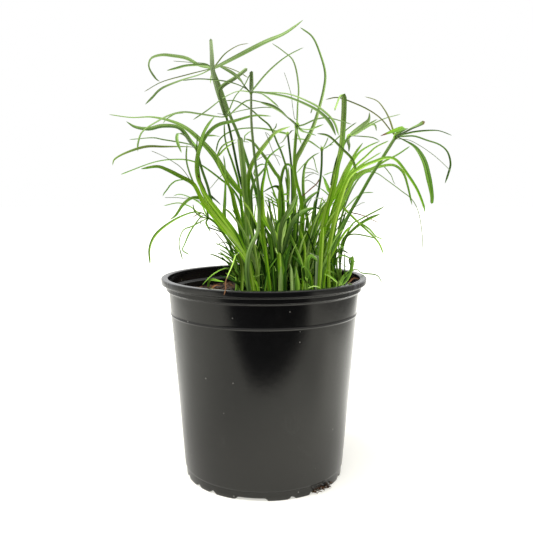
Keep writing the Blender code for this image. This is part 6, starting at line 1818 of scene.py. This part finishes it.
class PAPYRUS_OT_litter(bpy.types.Operator):
    """Fallen leaf bits and root fibres on the soil, and dry roots out of one drain notch."""

    bl_idname = "papyrus.litter"
    bl_label = "Litter"
    bl_options = {"REGISTER", "UNDO"}

    def execute(self, context):
        settings = context.scene.papyrus
        finish = leaf_finish(settings)
        meshes = []
        for start_depth, end_depth, widths, kind, path in FALLEN:
            points = even_course(start_depth, end_depth, path)
            meshes.append(swept(points, widths, BLADE_SECTION, PLAIN_LOOKS[kind], 0.5, shaded=False))
        chance = random.Random(LITTER_SEED)
        for _ in range(settings.fibres):
            meshes.append(self.fibre(chance))
        place_piece("litter", meshes, finish)
        roots = [self.root(chance) for _ in range(settings.roots)]
        place_piece("notch_roots", roots, finish)
        return {"FINISHED"}

    def fibre(self, chance):
        """One thin root fibre lying on the soil."""
        radius = FIBRE_REACH * math.sqrt(chance.random())
        angle = chance.uniform(0, math.tau)
        heading = chance.uniform(0, math.tau)
        x = radius * math.cos(angle)
        y = radius * math.sin(angle)
        points = []
        for _ in range(5):
            points.append(Vector((x, y, soil_height(x, y) + 0.5 + chance.random() * 1.2)))
            heading += chance.uniform(-0.7, 0.7)
            x += math.cos(heading) * FIBRE_STEP
            y += math.sin(heading) * FIBRE_STEP
            if math.hypot(x, y) > SOIL_EDGE_RADIUS - 3:
                break
        if len(points) < 3:
            points.append(points[-1] + Vector((0, 0, 1)))
            points.append(points[-1] + Vector((0, 0, 1)))
        width = chance.uniform(0.25, 0.6)
        return self.thread(points, (width, width, width * 0.6))

    def root(self, chance):
        """One dry root that comes out of the drain notch at the front right."""
        turn = math.radians(ROOTS_AT + chance.uniform(-11, 9))
        out = Vector((math.sin(turn), -math.cos(turn), 0))
        side = Vector((out.y, -out.x, 0))
        spot = out * (FOOT_RADIUS - 3) + Vector((0, 0, chance.uniform(0.6, 2.4)))
        points = [spot.copy()]
        for _ in range(4):
            spot = spot + out * chance.uniform(0.8, 2.2) + side * chance.uniform(-1.8, 1.8)
            spot.z = min(max(spot.z + chance.uniform(-1.0, 1.8), ROOTS_LOWEST), ROOTS_HIGHEST)
            points.append(spot.copy())
        width = chance.uniform(0.3, 0.75)
        return self.thread(points, (width, width, width * 0.7))

    def thread(self, points, widths):
        return swept(points, widths, BLADE_SECTION, PLAIN_LOOKS["brown"], 0.3, shaded=False)


# The stage

def lamp(name, energy, size, place, target):
    """A rectangular area lamp that looks at a target and isn't mirrored in the pot."""
    light = bpy.data.lights.new(name, "AREA")
    light.energy = energy
    light.shape = "RECTANGLE"
    light.size, light.size_y = size
    made = bpy.data.objects.new(name, light)
    made.location = place
    made.rotation_euler = (Vector(target) - Vector(place)).to_track_quat("-Z", "Y").to_euler()
    made.visible_glossy = False
    bpy.context.scene.collection.objects.link(made)


def white_floor():
    """A warm white floor that glows more away from the pot, most at the sides and the back."""
    floor = Finish("white_floor")
    x, y, _ = floor.parts(floor.place())
    x = floor.minus(x, AXIS_X * MM)
    away = floor.distance(x, y)
    far = floor.between(away, *FAR_FROM_POT)
    beside = floor.between(floor.sum("DIVIDE", y, floor.sum("ADD", away, 0.02)), *BESIDE_POT)
    glow = floor.times_plus(beside, SIDE_GLOW, FRONT_GLOW)
    glow = floor.times_plus(far, glow, NEAR_GLOW)
    floor.feed(floor.shader.inputs["Emission Color"], (*FLOOR_GLOW, 1.0))
    floor.feed(floor.shader.inputs["Emission Strength"], glow)
    return floor.finish(floor.mix(far, FLOOR_WHITE, FLOOR_FAR), STAGE_ROUGH)


def dark_room():
    """A dark stand-in for the unlit room's shade in front of the white floor, with a soft edge towards the
    pot.
    """
    room = Finish("dark_room")
    x, y, _ = room.parts(room.place())
    x = room.minus(x, AXIS_X * MM)
    left = room.sum("MAXIMUM", room.minus(ROOM_LEFT, x), 0.0)
    right = room.sum("MAXIMUM", room.minus(x, ROOM_RIGHT), 0.0)
    edge = room.times_plus(left, LEFT_SLOPE, ROOM_EDGE)
    edge = room.times_plus(right, RIGHT_SLOPE, edge)
    blur = room.times_plus(room.size(x), BLUR_GROWTH, ROOM_BLUR)
    past_edge = room.sum("ADD", room.minus(edge, y), blur)
    front = room.between(past_edge, 0.0, room.times(blur, 2.0))
    far_left = room.times(room.between(room.times(x, -1.0), *FAR_LEFT), FAR_LEFT_COVER)
    far_right = room.times(room.between(x, *FAR_RIGHT), FAR_RIGHT_COVER)
    cover = room.sum("MAXIMUM", front, room.sum("MAXIMUM", far_left, far_right))
    veil = room.times(room.between(y, *FRONT_VEIL_Y), FRONT_VEIL)
    veil = room.times_plus(room.between(x, *LEFT_VEIL_X), SIDE_VEIL, veil)
    right_front = room.times(room.between(x, *RIGHT_VEIL_X), room.between(y, *RIGHT_VEIL_Y))
    veil = room.times_plus(right_front, SIDE_VEIL, veil)
    room.feed(room.shader.inputs["Alpha"], room.sum("MAXIMUM", cover, veil))
    return room.finish(ROOM_DARK, STAGE_ROUGH)


class PAPYRUS_OT_stage(bpy.types.Operator):
    """White floor, soft light, the dark sheet for the room's shade that the floor and pot show, and the
    camera.
    """

    bl_idname = "papyrus.stage"
    bl_label = "Stage"
    bl_options = {"REGISTER", "UNDO"}

    def execute(self, context):
        scene = context.scene
        scene.view_settings.view_transform = "Standard"
        scene.view_settings.look = "None"
        shape = bmesh.new()
        bmesh.ops.create_circle(shape, cap_ends=True, segments=FLOOR_SIDES, radius=FLOOR_RADIUS)
        self.lay(scene, "floor", shape, white_floor())
        self.dark_card(scene)
        for name, values in LAMPS.items():
            lamp(name, *values)
        self.white_world(scene)
        self.camera(scene)
        return {"FINISHED"}

    def lay(self, scene, name, shape, finish):
        """Adds a flat sheet of the stage."""
        sheet = bpy.data.objects.new(name, made_mesh(shape, name))
        sheet.data.materials.append(finish)
        scene.collection.objects.link(sheet)
        return sheet

    def dark_card(self, scene):
        """A dark sheet for the unlit room's shade past the white floor's front edge, which the camera
        itself never sees.
        """
        shape = bmesh.new()
        bmesh.ops.create_grid(shape, x_segments=1, y_segments=1, size=0.5)
        spread = Matrix.Translation((AXIS_X * MM, ROOM_BACK - ROOM_DEPTH / 2, ROOM_HEIGHT))
        spread @= Matrix.Diagonal((ROOM_WIDTH, ROOM_DEPTH, 1.0, 1.0))
        bmesh.ops.transform(shape, matrix=spread, verts=shape.verts)
        card = self.lay(scene, "dark_card", shape, dark_room())
        card.visible_camera = False
        card.visible_shadow = False

    def white_world(self, scene):
        """A white surround whose soft light comes mostly from above and behind."""
        world = bpy.data.worlds.new("surround")
        world.use_nodes = True
        nodes = world.node_tree.nodes
        links = world.node_tree.links
        shade = nodes["Background"]
        shade.inputs["Color"].default_value = (1.0, 1.0, 1.0, 1.0)
        path = nodes.new("ShaderNodeLightPath")
        place = nodes.new("ShaderNodeTexCoord")
        aim = nodes.new("ShaderNodeVectorMath")
        aim.operation = "DOT_PRODUCT"
        aim.inputs[1].default_value = SKY_AIM
        links.new(place.outputs["Generated"], aim.inputs[0])
        soft = nodes.new("ShaderNodeMapRange")
        soft.interpolation_type = "SMOOTHSTEP"
        soft.inputs["From Min"].default_value, soft.inputs["From Max"].default_value = SKY_RISE
        soft.inputs["To Max"].default_value = SKY_BRIGHT
        mirrored = nodes.new("ShaderNodeMath")
        mirrored.operation = "MULTIPLY_ADD"
        mirrored.inputs[1].default_value = SKY_MIRRORED
        mirrored.inputs[2].default_value = SKY_DIM
        links.new(path.outputs["Is Glossy Ray"], mirrored.inputs[0])
        links.new(mirrored.outputs[0], soft.inputs["To Min"])
        links.new(aim.outputs["Value"], soft.inputs["Value"])
        chosen = nodes.new("ShaderNodeMix")
        chosen.inputs[3].default_value = 1.0
        links.new(path.outputs["Is Camera Ray"], chosen.inputs[0])
        links.new(soft.outputs[0], chosen.inputs[2])
        links.new(chosen.outputs[0], shade.inputs["Strength"])
        scene.world = world

    def camera(self, scene):
        lens = bpy.data.cameras.new("camera")
        lens.lens = CAMERA_LENS
        lens.sensor_width = SENSOR
        lens.clip_start = 0.01
        made = bpy.data.objects.new("camera", lens)
        made.location = (EYE + Vector((AXIS_X, AXIS_Y, 0))) * MM
        made.rotation_euler = (math.pi / 2 - CAMERA_PITCH, 0, 0)
        scene.collection.objects.link(made)
        scene.camera = made


OPERATORS = (
    PAPYRUS_OT_pot, PAPYRUS_OT_soil, PAPYRUS_OT_stems, PAPYRUS_OT_umbels, PAPYRUS_OT_leaves,
    PAPYRUS_OT_tillers, PAPYRUS_OT_strands, PAPYRUS_OT_undergrowth, PAPYRUS_OT_litter, PAPYRUS_OT_stage,
)


class PAPYRUS_PT_pieces(bpy.types.Panel):
    """Lists the pieces of the plant in the sidebar."""

    bl_idname = "PAPYRUS_PT_pieces"
    bl_label = "Papyrus"
    bl_space_type = "VIEW_3D"
    bl_region_type = "UI"
    bl_category = "Papyrus"

    def draw(self, context):
        for operator in OPERATORS:
            self.layout.operator(operator.bl_idname)
        for name in PapyrusSettings.__annotations__:
            self.layout.prop(context.scene.papyrus, name)


CLASSES = (PapyrusSettings, *OPERATORS, PAPYRUS_PT_pieces)


def register():
    for kind in CLASSES:
        bpy.utils.register_class(kind)
    bpy.types.Scene.papyrus = bpy.props.PointerProperty(type=PapyrusSettings)


def unregister():
    del bpy.types.Scene.papyrus
    for kind in reversed(CLASSES):
        bpy.utils.unregister_class(kind)


def main():
    register()
    bpy.ops.papyrus.pot()
    bpy.ops.papyrus.soil()
    bpy.ops.papyrus.stems()
    bpy.ops.papyrus.umbels()
    bpy.ops.papyrus.leaves()
    bpy.ops.papyrus.tillers()
    bpy.ops.papyrus.strands()
    bpy.ops.papyrus.undergrowth()
    bpy.ops.papyrus.litter()
    bpy.ops.papyrus.stage()


if __name__ == "__main__":
    main()
